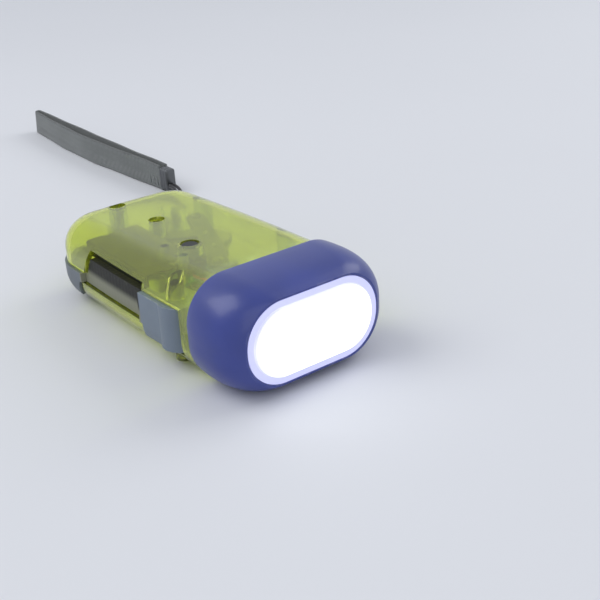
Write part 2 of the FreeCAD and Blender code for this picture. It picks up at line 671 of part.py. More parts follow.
def lower_shell():
    """The lower casing half, with its posts, bosses, cell cradle and lock slot."""
    below = box(-FAR, -FAR, -FAR, FAR, FAR, PART_LINE_Z - HALF_GAP)
    floor = WALL - BOSS_ROOT
    shell = casing().common(below).cut(window())
    grown = [
        disc(PIVOT, PIN_BOSS_RADIUS, floor, WINDOW_BLOCK_LOW_Z - PIN_BOSS_GAP),
        disc(FIRST, FIRST_POST_RADIUS, floor, ARC_LEVEL - LEVEL_GAP),
        disc(SECOND, SECOND_POST_RADIUS, floor, FLYWHEEL_BOTTOM),
        disc(FLYWHEEL, CORE_POST_RADIUS, floor, CORE_BOTTOM),
        disc(TOP_SCREW_XY, TAIL_BOSS_RADIUS, floor, PART_LINE_Z - HALF_GAP),
        strap_pocket(STRAP_POCKET_WALL).common(body_form(0)).common(below),
    ]
    for xy in POSTS:
        grown.append(disc(xy, POST_RADIUS, floor, PLATE_Z))
    for xy in LOW_SCREWS:
        grown.append(disc(xy, BOSS_RADIUS, floor, PART_LINE_Z - HALF_GAP))
    cradle_r = CELL_RADIUS + CRADLE_GAP
    cradle = ring(CELL_XY, cradle_r + CRADLE_THICKNESS, cradle_r, floor, WALL + CRADLE_HEIGHT)
    cradle = cradle.cut(box(CELL_XY[0] - CLIP_WIDTH, CELL_XY[1] - FAR, WALL, CELL_XY[0] + CLIP_WIDTH,
                            CELL_XY[1] + FAR, FAR))
    grown.append(cradle.common(body_form(WALL / 2)))
    for piece in grown:
        shell = shell.fuse(piece)
    holes = [
        disc(PIVOT, PIN_RADIUS, WALL, FAR),
        disc(FIRST, AXLE_RADIUS, WALL, FAR),
        disc(SECOND, AXLE_RADIUS, WALL, FAR),
        disc(FLYWHEEL, SHAFT_RADIUS + RUNNING_GAP, WALL, FAR),
        hole_for_screw(TOP_SCREW_XY, TOP_SCREW_SEAT - SCREW_GRIP, FAR),
        strap_pocket(0),
        strap_pin(),
    ]
    for xy in POSTS:
        holes.append(disc(xy, SMALL_SCREW_RADIUS, PLATE_Z - SMALL_SCREW_LENGTH, FAR))
    for xy in LOW_SCREWS:
        holes.append(disc(xy, SCREW_RECESS_RADIUS, -1, SCREW_RECESS_DEPTH))
        holes.append(hole_for_screw(xy, SCREW_RECESS_DEPTH - 1, FAR))
    holes += lock_cuts()
    for hole in holes:
        shell = shell.cut(hole)
    return shell.removeSplitter()


def lock_box(shift, size, gap, travel, z0, z1):
    """A box near the lock's stem, lengthened by the travel."""
    half_x = size[0] / 2 + gap
    half_y = size[1] / 2 + gap
    return box(LOCK_X + shift - half_x, LOCK_Y - half_y, z0, LOCK_X + shift + half_x + travel, LOCK_Y + half_y, z1)


def lock_cuts():
    """The shallow pocket for the lock's thumb pad and the slot for its stem."""
    pocket = lock_box(LOCK_SHIFT, LOCK_PAD, LOCK_GAP, LOCK_TRAVEL, -1, LOCK_POCKET_DEPTH)
    slot = lock_box(0, LOCK_STEM, LOCK_GAP, LOCK_TRAVEL, -1, WALL + 1)
    return [pocket, slot]


def lever_lock():
    """The slide that holds the lever shut: ribbed thumb pad, stem and keeper flange."""
    pad_x, pad_y, pad_z = LOCK_PAD
    pad_low = LOCK_POCKET_DEPTH - pad_z
    pad_top = LOCK_POCKET_DEPTH - RUNNING_GAP
    flange_low = WALL + LOCK_FLANGE_GAP
    pad = lock_box(LOCK_SHIFT, LOCK_PAD, 0, 0, pad_low, pad_top)
    for i in range(LOCK_RIBS):
        groove_x = LOCK_X + LOCK_SHIFT - pad_x / 2 + (i + 0.75) * pad_x / (LOCK_RIBS + 0.5)
        pad = pad.cut(box(groove_x - LOCK_GROOVE[0] / 2, LOCK_Y - pad_y, -1, groove_x + LOCK_GROOVE[0] / 2,
                          LOCK_Y + pad_y, pad_low + LOCK_GROOVE[1]))
    stem = lock_box(0, LOCK_STEM, 0, 0, pad_low + LOCK_GROOVE[1], WEB_LOW - LOCK_HEAD_GAP)
    flange = lock_box(LOCK_SHIFT, LOCK_FLANGE, 0, 0, flange_low, flange_low + LOCK_FLANGE[2])
    return fuse(pad, stem, flange)


def upper_shell():
    """The upper casing half, with the button's guide, the bosses and the board's posts."""
    above = box(-FAR, -FAR, PART_LINE_Z + HALF_GAP, FAR, FAR, FAR)
    shell = casing().common(above).cut(window())
    outer = body_form(0)
    button_top = top_z(BUTTON_XY[0])
    guide_r = BUTTON_RADIUS + BUTTON_GAP
    grown = [
        disc(PIVOT, PIN_BOSS_RADIUS, WINDOW_BLOCK_TOP_Z + PIN_BOSS_GAP, FAR),
        disc(FIRST, FIRST_POST_RADIUS, PLATE_TOP + SHOULDER, FAR),
        disc(TOP_SCREW_XY, BOSS_RADIUS, PART_LINE_Z + HALF_GAP, FAR),
        disc(BUTTON_XY, guide_r + GUIDE_WALL, button_top - WALL - GUIDE_DEPTH, FAR),
        strap_pocket(STRAP_POCKET_WALL).common(above),
    ]
    for xy in LOW_SCREWS:
        grown.append(disc(xy, BOSS_RADIUS, PART_LINE_Z + HALF_GAP, FAR))
    for x in (BOARD_X[0] + BOARD_POST_INSET, BOARD_X[1] - BOARD_POST_INSET):
        grown.append(disc((x, BOARD_Y[0] + BOARD_POST_INSET), BOARD_POST_RADIUS, BOARD_TOP_Z, FAR))
    for piece in grown:
        shell = shell.fuse(piece.common(outer))
    first_top = top_z(FIRST[0])
    holes = [
        disc(PIVOT, PIN_RADIUS, 0, PIN_TOP),
        disc(FIRST, AXLE_RADIUS, 0, FAR),
        disc(FIRST, AXLE_RECESS_RADIUS, first_top - AXLE_RECESS_DEPTH, FAR),
        disc(TOP_SCREW_XY, SCREW_RECESS_RADIUS, TOP_SCREW_SEAT, FAR),
        hole_for_screw(TOP_SCREW_XY, 0, FAR),
        disc(BUTTON_XY, guide_r, 0, FAR),
        strap_pocket(0),
        strap_pin(),
    ]
    for xy in LOW_SCREWS:
        holes.append(hole_for_screw(xy, 0, SCREW_RECESS_DEPTH + SCREW_GRIP))
    for hole in holes:
        shell = shell.cut(hole)
    return shell.removeSplitter()


def lever_pin():
    """The steel pin that the lever turns on."""
    return disc(PIVOT, PIN_RADIUS, WALL, PIN_TOP)


def lever_zone(x0, x1, low, high, inset):
    """One stretch of the lever's outer plate, following the casing's side."""
    slab = box(x0, -FAR, low, x1, PIVOT_Y + NOSE_RADIUS, high)
    return slab.common(body_form(inset))


def squeeze_lever():
    """The lever: front block on the pin, recessed finger stretch, tail pad, web and toothed arc."""
    plate = side_prism(window_outline(WINDOW_GAP), -FAR, PIVOT_Y + NOSE_RADIUS)
    core = body_form(LEVER_PLATE)
    block = lever_zone(WINDOW_BLOCK_X - 1, PIVOT_X, 0, WINDOW_BLOCK_TOP_Z - WINDOW_GAP, -BLOCK_PROUD)
    finger = lever_zone(WINDOW_NECK_X, WINDOW_BLOCK_X, 0, FINGER_TOP_Z, FINGER_RECESS)
    pad = lever_zone(WINDOW_TAIL_X - 5, WINDOW_NECK_X + 1, 0, FAR, -PAD_PROUD)
    skin = plate.common(block.fuse(finger).fuse(pad)).cut(core)
    nose = disc(PIVOT, NOSE_RADIUS, NOSE_LOW, NOSE_TOP)
    web_y = -SIDE_Y + WEB_FROM_SIDE
    web = box(WINDOW_TAIL_LOW_X, web_y, ARC_LEVEL, PIVOT_X, web_y + WEB_DEPTH, WEB_TOP)
    catch_x0 = CATCH_XY[0] - CATCH_WIDTH / 2
    catch_x1 = CATCH_XY[0] + CATCH_WIDTH / 2
    catch_y1 = CATCH_XY[1] + CATCH_THICKNESS / 2
    catch_arm = box(catch_x0, web_y, WEB_LOW, catch_x1, catch_y1, WEB_TOP)
    catch_hook = box(catch_x0, catch_y1 - CATCH_THICKNESS, CATCH_LOW_Z, catch_x1, catch_y1, WEB_TOP)
    catch = fuse(catch_arm, catch_hook)
    tail_web = box(WINDOW_TAIL_X + TAIL_WEB_FROM_END, web_y, WEB_LOW, WINDOW_NECK_X, web_y + TAIL_WEB_DEPTH,
                   WEB_TOP)
    lever = skin.fuse(nose).fuse(web).fuse(catch).fuse(tail_web).fuse(toothed_arc())
    spring_pocket = disc(PIVOT, SPRING_POCKET_RADIUS, 0, NOSE_LOW + SPRING_POCKET)
    spring_way = box(PIVOT_X - NOSE_RADIUS - 1, PIVOT_Y, 0, PIVOT_X + NOSE_RADIUS + 1,
                     PIVOT_Y + NOSE_RADIUS + 1, NOSE_LOW + SPRING_POCKET)
    lever = lever.cut(spring_pocket.fuse(spring_way))
    return lever.cut(disc(PIVOT, PIN_RADIUS + RUNNING_GAP, 0, FAR)).removeSplitter()


def return_spring():
    """The coil round the pin that pushes the lever open, with a leg each way."""
    low = WINDOW_BLOCK_LOW_Z
    pitch = 2 * SPRING_WIRE + SPRING_TURN_GAP
    helix = Part.makeHelix(pitch, pitch * SPRING_TURNS, SPRING_RADIUS)
    helix.translate(V(PIVOT[0], PIVOT[1], low + SPRING_WIRE))
    start = V(PIVOT[0] + SPRING_RADIUS, PIVOT[1], low + SPRING_WIRE)
    overlap = V(SPRING_LEG_SHIFT, SPRING_WIRE, 0)
    circle = Part.Wire(Part.makeCircle(SPRING_WIRE, start, V(0, 1, pitch / (2 * math.pi * SPRING_RADIUS))))
    coil = Part.Wire(helix).makePipeShell([circle], True, True)
    end = V(start.x, start.y, start.z + pitch * SPRING_TURNS)
    long_leg = Part.makeCylinder(SPRING_WIRE, SPRING_LEG, end - overlap, V(0, 1, 0))
    short_leg = Part.makeCylinder(SPRING_WIRE, SPRING_SHORT_LEG, start + overlap, V(0, -1, 0))
    return fuse(coil, long_leg, short_leg)


def involute_angle(base, radius):
    """The polar angle that an involute has turned through at a radius."""
    if radius <= base:
        return 0.0
    roll = math.sqrt((radius / base) ** 2 - 1)
    return roll - math.atan(roll)


def tooth_points(centre, module, teeth, middle_deg):
    """The outline of one gear tooth, from its root on one side to its root on the other."""
    pitch_r = module * teeth / 2
    base = pitch_r * math.cos(math.radians(PRESSURE_ANGLE))
    tip = pitch_r + ADDENDUM * module
    root = pitch_r - DEDENDUM * module
    half = math.pi / (2 * teeth) - BACKLASH / (2 * pitch_r) + involute_angle(base, pitch_r)
    radii = [root]
    low = max(root, base)
    for step in range(4):
        radii.append(low + (tip - low) * step / 3)
    if radii[1] - radii[0] < 1e-3:
        radii = radii[1:]
    middle = math.radians(middle_deg)
    rising = [(r, middle - half + involute_angle(base, r)) for r in radii]
    falling = [(r, middle + half - involute_angle(base, r)) for r in reversed(radii)]
    return [(centre[0] + r * math.cos(a), centre[1] + r * math.sin(a)) for r, a in rising + falling]


def gear(centre, module, teeth, phase_deg, z0, z1):
    """A spur gear with involute teeth; phase_deg is the middle of one tooth."""
    points = []
    for i in range(teeth):
        points += tooth_points(centre, module, teeth, phase_deg + i * 360.0 / teeth)
    return prism(points, z0, z1)


def mesh_phase(phase_deg, teeth, other_teeth, line_deg):
    """The phase that puts a gear in mesh with another, whose phase is known, along a line."""
    return line_deg + 180 - (phase_deg - line_deg) * teeth / other_teeth + 180.0 / other_teeth


ARC_PHASE = MESH_ANGLE
FIRST_PHASE = mesh_phase(ARC_PHASE, ARC_TEETH, ARC_PINION_TEETH, MESH_ANGLE)
SECOND_PHASE = mesh_phase(FIRST_PHASE, FIRST_WHEEL_TEETH, SECOND_PINION_TEETH, SECOND_ANGLE)
FLYWHEEL_PHASE = mesh_phase(SECOND_PHASE, SECOND_WHEEL_TEETH, FLYWHEEL_PINION_TEETH, FLYWHEEL_ANGLE)


def toothed_arc():
    """The arc of teeth about the pivot that drives the first gear."""
    pitch_deg = 360.0 / ARC_TEETH
    root = ARC_R - DEDENDUM * ARC_MODULE
    spare = math.ceil(ARC_SPARE_DEG / pitch_deg)
    back = math.ceil(LEVER_OPENING_DEG / pitch_deg) + spare
    points = []
    for i in range(-back, spare + 1):
        points += tooth_points(PIVOT, ARC_MODULE, ARC_TEETH, ARC_PHASE + i * pitch_deg)
    start_deg = ARC_PHASE - (back + 0.5) * pitch_deg
    teeth_end = ARC_PHASE + (spare + 0.5) * pitch_deg
    inner = root - ARC_RIM
    outline = [polar(PIVOT, root, start_deg)] + points + [polar(PIVOT, root, teeth_end)]
    steps = 12
    for i in range(1, steps + 1):
        outline.append(polar(PIVOT, root, teeth_end + (180 - teeth_end) * i / steps))
    for i in range(4 * steps + 1):
        outline.append(polar(PIVOT, inner, 180 + (start_deg - 180) * i / (4 * steps)))
    return prism(outline, ARC_LEVEL, ARC_TOP)


def compound_gear(centre, small, large, large_z, small_z0, small_z1):
    """A pinion and a wheel moulded in one, with a running bore."""
    pinion = gear(centre, small[0], small[1], small[2], small_z0, small_z1)
    wheel = gear(centre, large[0], large[1], large[2], large_z, large_z + WHEEL_THICKNESS)
    low = min(small_z0, large_z)
    high = max(small_z1, large_z + WHEEL_THICKNESS)
    hub = disc(centre, GEAR_HUB_RADIUS, low, high)
    bore = disc(centre, AXLE_RADIUS + RUNNING_GAP, low - 1, high + 1)
    return fuse(pinion, wheel, hub).cut(bore)


def holes_round(solid, centre, radius, hole_radius, count, z0, z1):
    """Round holes through a wheel's web."""
    for i in range(count):
        solid = solid.cut(disc(polar(centre, radius, (i + 0.25) * 360.0 / count), hole_radius, z0, z1))
    return solid


def first_gear():
    """The gear that the toothed arc drives."""
    made = compound_gear(FIRST, (ARC_MODULE, ARC_PINION_TEETH, FIRST_PHASE),
                         (WHEEL_MODULE, FIRST_WHEEL_TEETH, FIRST_PHASE),
                         FIRST_WHEEL_Z, ARC_LEVEL - SHOULDER, FIRST_WHEEL_Z)
    return holes_round(made, FIRST, LIGHTENING_RADIUS, LIGHTENING_HOLE, LIGHTENING_COUNT, FIRST_WHEEL_Z - 1,
                       FIRST_WHEEL_Z + WHEEL_THICKNESS + 1)


def second_gear():
    """The gear between the first gear and the flywheel."""
    return compound_gear(SECOND, (WHEEL_MODULE, SECOND_PINION_TEETH, SECOND_PHASE),
                         (FAST_MODULE, SECOND_WHEEL_TEETH, SECOND_PHASE),
                         SECOND_WHEEL_Z, FIRST_WHEEL_Z - SHOULDER, SECOND_WHEEL_Z)


def flywheel_pinion():
    """The last pinion, pressed on the flywheel's shaft."""
    z0 = SECOND_WHEEL_Z - SHOULDER
    z1 = SECOND_WHEEL_Z + WHEEL_THICKNESS + SHOULDER
    pinion = gear(FLYWHEEL, FAST_MODULE, FLYWHEEL_PINION_TEETH, FLYWHEEL_PHASE, z0, z1)
    return pinion.cut(disc(FLYWHEEL, SHAFT_RADIUS, z0 - 1, z1 + 1))


def gear_axles():
    """The two fixed axles; the second has a collar that its gear stands on."""
    first = disc(FIRST, AXLE_RADIUS, WALL, top_z(FIRST[0]) - AXLE_RECESS_DEPTH - SHOULDER)
    second = disc(SECOND, AXLE_RADIUS, WALL, PLATE_TOP)
    collar = disc(SECOND, COLLAR_RADIUS, FLYWHEEL_TOP + COLLAR_GAP, FIRST_WHEEL_Z - COLLAR_GAP)
    return Part.makeCompound([first, fuse(second, collar)])


def flywheel():
    """The heavy cup that keeps the dynamo turning, open downward."""
    web_low = FLYWHEEL_TOP - FLYWHEEL_WEB
    wheel = disc(FLYWHEEL, FLYWHEEL_RADIUS, FLYWHEEL_BOTTOM, FLYWHEEL_TOP)
    wheel = wheel.cut(disc(FLYWHEEL, FLYWHEEL_RADIUS - FLYWHEEL_RIM, FLYWHEEL_BOTTOM - 1, web_low))
    wheel = holes_round(wheel, FLYWHEEL, FLYWHEEL_RADIUS / 2, FLYWHEEL_HOLE_RADIUS, FLYWHEEL_HOLES,
                        web_low - 1, FLYWHEEL_TOP + 1)
    return wheel.cut(disc(FLYWHEEL, SHAFT_RADIUS, FLYWHEEL_BOTTOM - 1, FLYWHEEL_TOP + 1))


def flywheel_shaft():
    """The thin steel shaft of the flywheel."""
    return disc(FLYWHEEL, SHAFT_RADIUS, WALL + SHOULDER, PLATE_TOP + SHOULDER)


def ring_magnet():
    """The magnet inside the flywheel's rim."""
    outer = FLYWHEEL_RADIUS - FLYWHEEL_RIM
    top = FLYWHEEL_TOP - FLYWHEEL_WEB
    return ring(FLYWHEEL, outer, outer - MAGNET_THICKNESS, top - MAGNET_HEIGHT, top)


def stator_core():
    """Two star-shaped pole plates on a hub."""
    hub = disc(FLYWHEEL, CORE_HUB_RADIUS, CORE_BOTTOM, CORE_TOP)
    lower = disc(FLYWHEEL, CORE_RADIUS, CORE_BOTTOM, CORE_BOTTOM + POLE_PLATE)
    upper = disc(FLYWHEEL, CORE_RADIUS, CORE_TOP - POLE_PLATE, CORE_TOP)
    core = fuse(hub, lower, upper)
    core = holes_round(core, FLYWHEEL, CORE_RADIUS, POLE_NOTCH, POLE_COUNT, CORE_BOTTOM - 1, CORE_TOP + 1)
    return core.cut(disc(FLYWHEEL, CORE_BORE_RADIUS, 0, FAR))


def stator_coil():
    """The copper winding between the pole plates."""
    return ring(FLYWHEEL, CORE_RADIUS - COIL_INSET, CORE_HUB_RADIUS, CORE_BOTTOM + POLE_PLATE,
                CORE_TOP - POLE_PLATE)


def arm(start, end, width, z0, z1):
    """A flat arm with round ends between two places."""
    length = math.hypot(end[0] - start[0], end[1] - start[1])
    angle = math.degrees(math.atan2(end[1] - start[1], end[0] - start[0]))
    bar = box(0, -width / 2, z0, length, width / 2, z1)
    bar.rotate(V(0, 0, 0), V(0, 0, 1), angle)
    bar.translate(V(start[0], start[1], 0))
    return bar.fuse(disc(start, width / 2, z0, z1)).fuse(disc(end, width / 2, z0, z1))


def gear_plate():
    """The open plate over the gears, which holds the axles' upper ends."""
    plate = arm(POSTS[0], FIRST, PLATE_ARM_WIDTH, PLATE_Z, PLATE_TOP)
    for start, end in [(FIRST, SECOND), (POSTS[1], SECOND), (SECOND, FLYWHEEL), (FLYWHEEL, POSTS[2])]:
        plate = plate.fuse(arm(start, end, PLATE_ARM_WIDTH, PLATE_Z, PLATE_TOP))
    plate = plate.cut(disc(FIRST, AXLE_RADIUS, 0, FAR))
    plate = plate.cut(disc(SECOND, AXLE_RADIUS, 0, FAR))
    plate = plate.cut(disc(FLYWHEEL, SHAFT_RADIUS + RUNNING_GAP, 0, FAR))
    for xy in POSTS:
        plate = plate.cut(disc(xy, SMALL_SCREW_RADIUS, 0, FAR))
    return plate.removeSplitter()


def plate_screws():
    """The small screws on the posts."""
    solids = []
    for xy in POSTS:
        head_top = PLATE_TOP + SMALL_SCREW_HEAD
        head = disc(xy, SMALL_SCREW_HEAD_RADIUS, PLATE_TOP, head_top)
        shank = disc(xy, SMALL_SCREW_RADIUS, PLATE_Z - SMALL_SCREW_LENGTH, PLATE_TOP)
        slot = box(xy[0] - SMALL_SCREW_HEAD_RADIUS - 1, xy[1] - SMALL_SLOT_WIDTH / 2, head_top - SMALL_SLOT_DEPTH,
                   xy[0] + SMALL_SCREW_HEAD_RADIUS + 1, xy[1] + SMALL_SLOT_WIDTH / 2, head_top + 1)
        solids.append(fuse(head, shank).cut(slot))
    return Part.makeCompound(solids)


BUTTON_TOP = top_z(BUTTON_XY[0]) - BUTTON_SUNK
BUTTON_LOW = top_z(BUTTON_XY[0]) - WALL - GUIDE_DEPTH - RUNNING_GAP


def power_button():
    """The round button, kept in by a flange under its guide."""
    cap = disc(BUTTON_XY, BUTTON_RADIUS, BUTTON_LOW - BUTTON_FLANGE_THICKNESS, BUTTON_TOP)
    top_edge = [e for e in cap.Edges if e.BoundBox.ZMin > BUTTON_TOP - 0.01]
    cap = cap.makeFillet(BUTTON_EDGE_RADIUS, top_edge)
    flange = disc(BUTTON_XY, BUTTON_RADIUS + BUTTON_FLANGE, BUTTON_LOW - BUTTON_FLANGE_THICKNESS, BUTTON_LOW)
    return fuse(cap, flange)


def circuit_board():
    """The board that carries the switch."""
    return box(BOARD_X[0], BOARD_Y[0], BOARD_TOP_Z - BOARD_THICKNESS, BOARD_X[1], BOARD_Y[1], BOARD_TOP_Z)


def switch_body():
    """The push switch under the button."""
    x, y = BUTTON_XY
    half = SWITCH_SIDE / 2
    case = box(x - half, y - half, BOARD_TOP_Z, x + half, y + half, BOARD_TOP_Z + SWITCH_HEIGHT)
    stem_top = BUTTON_LOW - BUTTON_FLANGE_THICKNESS - BUTTON_TRAVEL - RUNNING_GAP
    return fuse(case, disc(BUTTON_XY, SWITCH_STEM_RADIUS, BOARD_TOP_Z, stem_top))


def rechargeable_cell():
    """The button cells in their wrap, standing on the lower clip."""
    body = disc(CELL_XY, CELL_RADIUS, CELL_Z, CELL_Z + CELL_HEIGHT - CELL_CAP_HEIGHT)
    edges = [e for e in body.Edges if e.BoundBox.ZLength < 0.01]
    body = body.makeFillet(CELL_EDGE_RADIUS, edges)
    cap = disc(CELL_XY, CELL_CAP_RADIUS, CELL_Z + CELL_HEIGHT / 2, CELL_Z + CELL_HEIGHT)
    return fuse(body, cap)


def cell_clips():
    """The strip under the cell and the strip over it, which runs down its side."""
    x, y = CELL_XY
    half = CLIP_WIDTH / 2
    lower = box(x - half, y - CLIP_REACH, WALL, x + half, y + CLIP_REACH, CELL_Z)
    top = CELL_Z + CELL_HEIGHT
    side_y = y - CELL_RADIUS - CLIP_GAP
    over = box(x - half, side_y - CLIP_THICKNESS, top, x + half, y + CLIP_REACH, top + CLIP_THICKNESS)
    down = box(x - half, side_y - CLIP_THICKNESS, WALL, x + half, side_y, top)
    return Part.makeCompound([lower, fuse(over, down)])


def tube(route, radius):
    """A round cord along straight runs joined by arcs, with the arc at each point as large as fits."""
    points = [V(*p) for p in route]
    edges = []
    radii = []
    at = points[0]
    for i in range(1, len(points) - 1):
        into = points[i] - points[i - 1]
        out = points[i + 1] - points[i]
        turn = into.getAngle(out)
        shorter = min(into.Length, out.Length)
        trim = 0.45 * shorter
        radii.append(trim / math.tan(turn / 2))
        unit_in = V(into).normalize()
        unit_out = V(out).normalize()
        start = points[i] - unit_in * trim
        end = points[i] + unit_out * trim
        inward = (unit_out - unit_in).normalize()
        to_centre = radii[-1] / math.cos(turn / 2)
        middle = points[i] + inward * (to_centre - radii[-1])
        edges.append(Part.LineSegment(at, start).toShape())
        edges.append(Part.Arc(start, middle, end).toShape())
        at = end
    edges.append(Part.LineSegment(at, points[-1]).toShape())
    path = Part.Wire(edges)
    section = Part.Wire(Part.makeCircle(radius, points[0], points[1] - points[0]))
    solid = path.makePipeShell([section], True, False)
    wanted = path.Length * math.pi * radius ** 2
    print("cord length %.1f, smallest radius %.2f, volume share %.4f"
          % (path.Length, min(radii), solid.Volume / wanted))
    print("  radii", [round(r, 1) for r in radii])
    return solid


def leads():
    """The two insulated leads from the switch board to the lamp board."""
    board_x = REFLECTOR_BACK - LAMP_BOARD_THICKNESS
    solids = []
    run, drift = LEAD_END
    for y in LEAD_YS:
        z = BOARD_TOP_Z + LEAD_RADIUS
        route = [(BOARD_X[1] + dx, y + dy, z + dz) for dx, dy, dz in LEAD_SHIFTS]
        route.append((board_x - run, y + drift, HEAD_Z))
        route.append((board_x, y + drift, HEAD_Z))
        solids.append(tube(route, LEAD_RADIUS))
    return Part.makeCompound(solids)


def band_outline(grow):
    """The face round both layers of the webbing loop, seen from above, grown outwards by a length."""
    points = [V(x, y, 0) for x, y in BAND_ROUTE]
    left = []
    right = []
    for i, point in enumerate(points):
        before = points[max(0, i - 1)]
        after = points[min(len(points) - 1, i + 1)]
        along = (after - before).normalize()
        across = V(-along.y, along.x, 0)
        half = BAND_SPREAD[i] / 2 + grow
        left.append(point + across * half)
        right.append(point - across * half)
    far = points[-1] + along * half
    edges = [
        Part.LineSegment(left[0], right[0]).toShape(),
        Part.Arc(left[-1], far, right[-1]).toShape(),
    ]
    for line in (left, right):
        curve = Part.BSplineCurve()
        curve.interpolate(line)
        edges.append(curve.toShape())
    return Part.Face(Part.Wire(Part.__sortEdges__(edges)))


def strap_band():
    """The webbing loop, standing on its edge: two layers, apart in the middle and folded at the far end."""
    return band_outline(BAND_LAYER).cut(band_outline(0)).extrude(V(0, 0, BAND_WIDTH))


def strap_crimp():
    """The crimp that joins the cord's two ends to the band."""
    x0, y = BAND_ROUTE[0]
    z0 = (BAND_WIDTH - CRIMP_HEIGHT) / 2
    block = box(x0, y - CRIMP_WIDTH / 2, z0, x0 + CRIMP_LENGTH, y + CRIMP_WIDTH / 2, z0 + CRIMP_HEIGHT)
    edges = [e for e in block.Edges if abs(e.BoundBox.XLength - CRIMP_LENGTH) < 0.01]
    return block.makeFillet(CRIMP_EDGE_RADIUS, edges)


NODES = {
    "lower_shell": lower_shell,
    "upper_shell": upper_shell,
    "head_bezel": head_bezel,
    "lens": lens,
    "reflector": reflector,
    "lamps": lamps,
    "lamp_board": lamp_board,
    "squeeze_lever": squeeze_lever,
    "lever_pin": lever_pin,
    "return_spring": return_spring,
    "first_gear": first_gear,
    "second_gear": second_gear,
    "gear_axles": gear_axles,
    "gear_plate": gear_plate,
    "plate_screws": plate_screws,
    "flywheel": flywheel,
    "flywheel_pinion": flywheel_pinion,
    "flywheel_shaft": flywheel_shaft,
    "ring_magnet": ring_magnet,
    "stator_core": stator_core,
    "stator_coil": stator_coil,
    "circuit_board": circuit_board,
    "switch_body": switch_body,
    "power_button": power_button,
    "rechargeable_cell": rechargeable_cell,
    "cell_clips": cell_clips,
    "leads": leads,
    "case_screws": case_screws,
    "lever_lock": lever_lock,
    "strap_pin": strap_pin,
    "strap_cord": lambda: tube(CORD_ROUTE, CORD_RADIUS),
    "strap_crimp": strap_crimp,
    "strap_band": strap_band,
}


def main():
    os.makedirs("parts", exist_ok=True)
    for name, make in NODES.items():
        shape = make()
        shape.exportStep("parts/" + name + ".step")
        box_of = shape.BoundBox
        print("%-18s solids %d valid %s volume %.1f x %.1f %.1f y %.1f %.1f z %.1f %.1f" % (
            name, len(shape.Solids), shape.isValid(), shape.Volume, box_of.XMin, box_of.XMax,
            box_of.YMin, box_of.YMax, box_of.ZMin, box_of.ZMax))
    print("pivot", PIVOT, "first", FIRST, "second", SECOND, "flywheel", FLYWHEEL)


main()
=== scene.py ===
import bpy
import numpy as np
from bpy.props import FloatProperty, FloatVectorProperty, IntProperty, PointerProperty
from mathutils import Matrix, Vector


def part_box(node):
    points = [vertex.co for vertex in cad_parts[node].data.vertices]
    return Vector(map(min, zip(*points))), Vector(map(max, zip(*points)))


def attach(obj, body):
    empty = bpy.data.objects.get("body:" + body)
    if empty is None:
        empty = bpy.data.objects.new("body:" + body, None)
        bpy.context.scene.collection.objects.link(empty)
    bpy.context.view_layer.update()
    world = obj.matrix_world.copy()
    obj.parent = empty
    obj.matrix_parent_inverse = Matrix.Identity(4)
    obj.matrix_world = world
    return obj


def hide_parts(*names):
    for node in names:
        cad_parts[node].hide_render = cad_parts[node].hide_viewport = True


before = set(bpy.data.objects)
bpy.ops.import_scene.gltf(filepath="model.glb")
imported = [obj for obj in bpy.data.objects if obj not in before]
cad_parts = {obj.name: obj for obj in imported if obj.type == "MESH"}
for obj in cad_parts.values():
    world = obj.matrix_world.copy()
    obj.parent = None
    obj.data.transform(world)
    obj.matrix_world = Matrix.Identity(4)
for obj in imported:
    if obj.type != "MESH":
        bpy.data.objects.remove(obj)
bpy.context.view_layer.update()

bl_info = {
    "name": "Squeeze-lever torch looks",
    "version": (1, 0, 0),
    "blender": (4, 5, 0),
    "location": "View3D > Sidebar > Torch",
    "description": "Dresses the packed squeeze-lever torch with its finishes, strap and small parts",
    "category": "Object",
}

MM = 0.001
TURN = 2 * np.pi


def mm(*values):
    """Millimetres as metres."""
    return tuple(v * MM for v in values)


# The user's values


def colour(name, description, default):
    """A colour property."""
    return FloatVectorProperty(name=name, description=description, default=default, size=3, min=0.0, max=1.0,
                               subtype="COLOR")


def length(name, description, default):
    """A length property in metres, with its default given in millimetres."""
    return FloatProperty(name=name, description=description, default=default * MM, min=0.0, unit="LENGTH",
                         precision=5)


class TorchColours(bpy.types.PropertyGroup):
    """Colours of the torch's finishes."""

    casing: colour("Casing", "Clear-tinted casing plastic", (0.76, 0.83, 0.12))
    head: colour("Head", "Moulded head plastic", (0.032, 0.050, 0.250))
    lever: colour("Lever", "Moulded lever plastic", (0.165, 0.205, 0.255))
    lever_tail: colour("Lever tail", "Lever plastic at its tail pad", (0.115, 0.130, 0.145))
    # grip: its top is darkened with painted shade, the shade inside the lever's recess
    grip: colour("Grip", "Grip of the finger stretch, dark at its top", (0.230, 0.235, 0.175))
    glow: colour("Glow", "Light of the lit lamps", (0.93, 0.95, 1.0))
    rim: colour("Rim", "Lens flange lit from behind", (0.62, 0.63, 0.95))
    webbing: colour("Webbing", "Strap webbing", (0.110, 0.120, 0.115))
    cord: colour("Cord", "Strap cord", (0.022, 0.022, 0.025))
    gear: colour("Gears", "Moulded gear plastic", (0.42, 0.43, 0.41))
    floor: colour("Floor", "Floor under the torch", (0.74, 0.75, 0.77))


class TorchSizes(bpy.types.PropertyGroup):
    """Sizes of the soft pieces and the small parts."""

    cord_diameter: length("Cord diameter", "Outside diameter of the strap cord", 1.3)
    cord_lay: length("Cord lay", "Length of one turn of the cord's strands", 4.2)
    band_width: length("Band width", "Width of the strap webbing", 10.6)
    band_layer: length("Band layer", "Thickness of one layer of webbing", 1.05)
    band_lean: FloatProperty(name="Band lean", description="How far the band leans off upright, as a slope",
                             default=0.07, min=0.0, max=0.3)
    stitch: length("Stitch", "Length of one stitch on the band", 2.0)
    stitch_rows: IntProperty(name="Stitch rows", description="Rows of stitches across the band", default=3, min=1)


# Shader tools


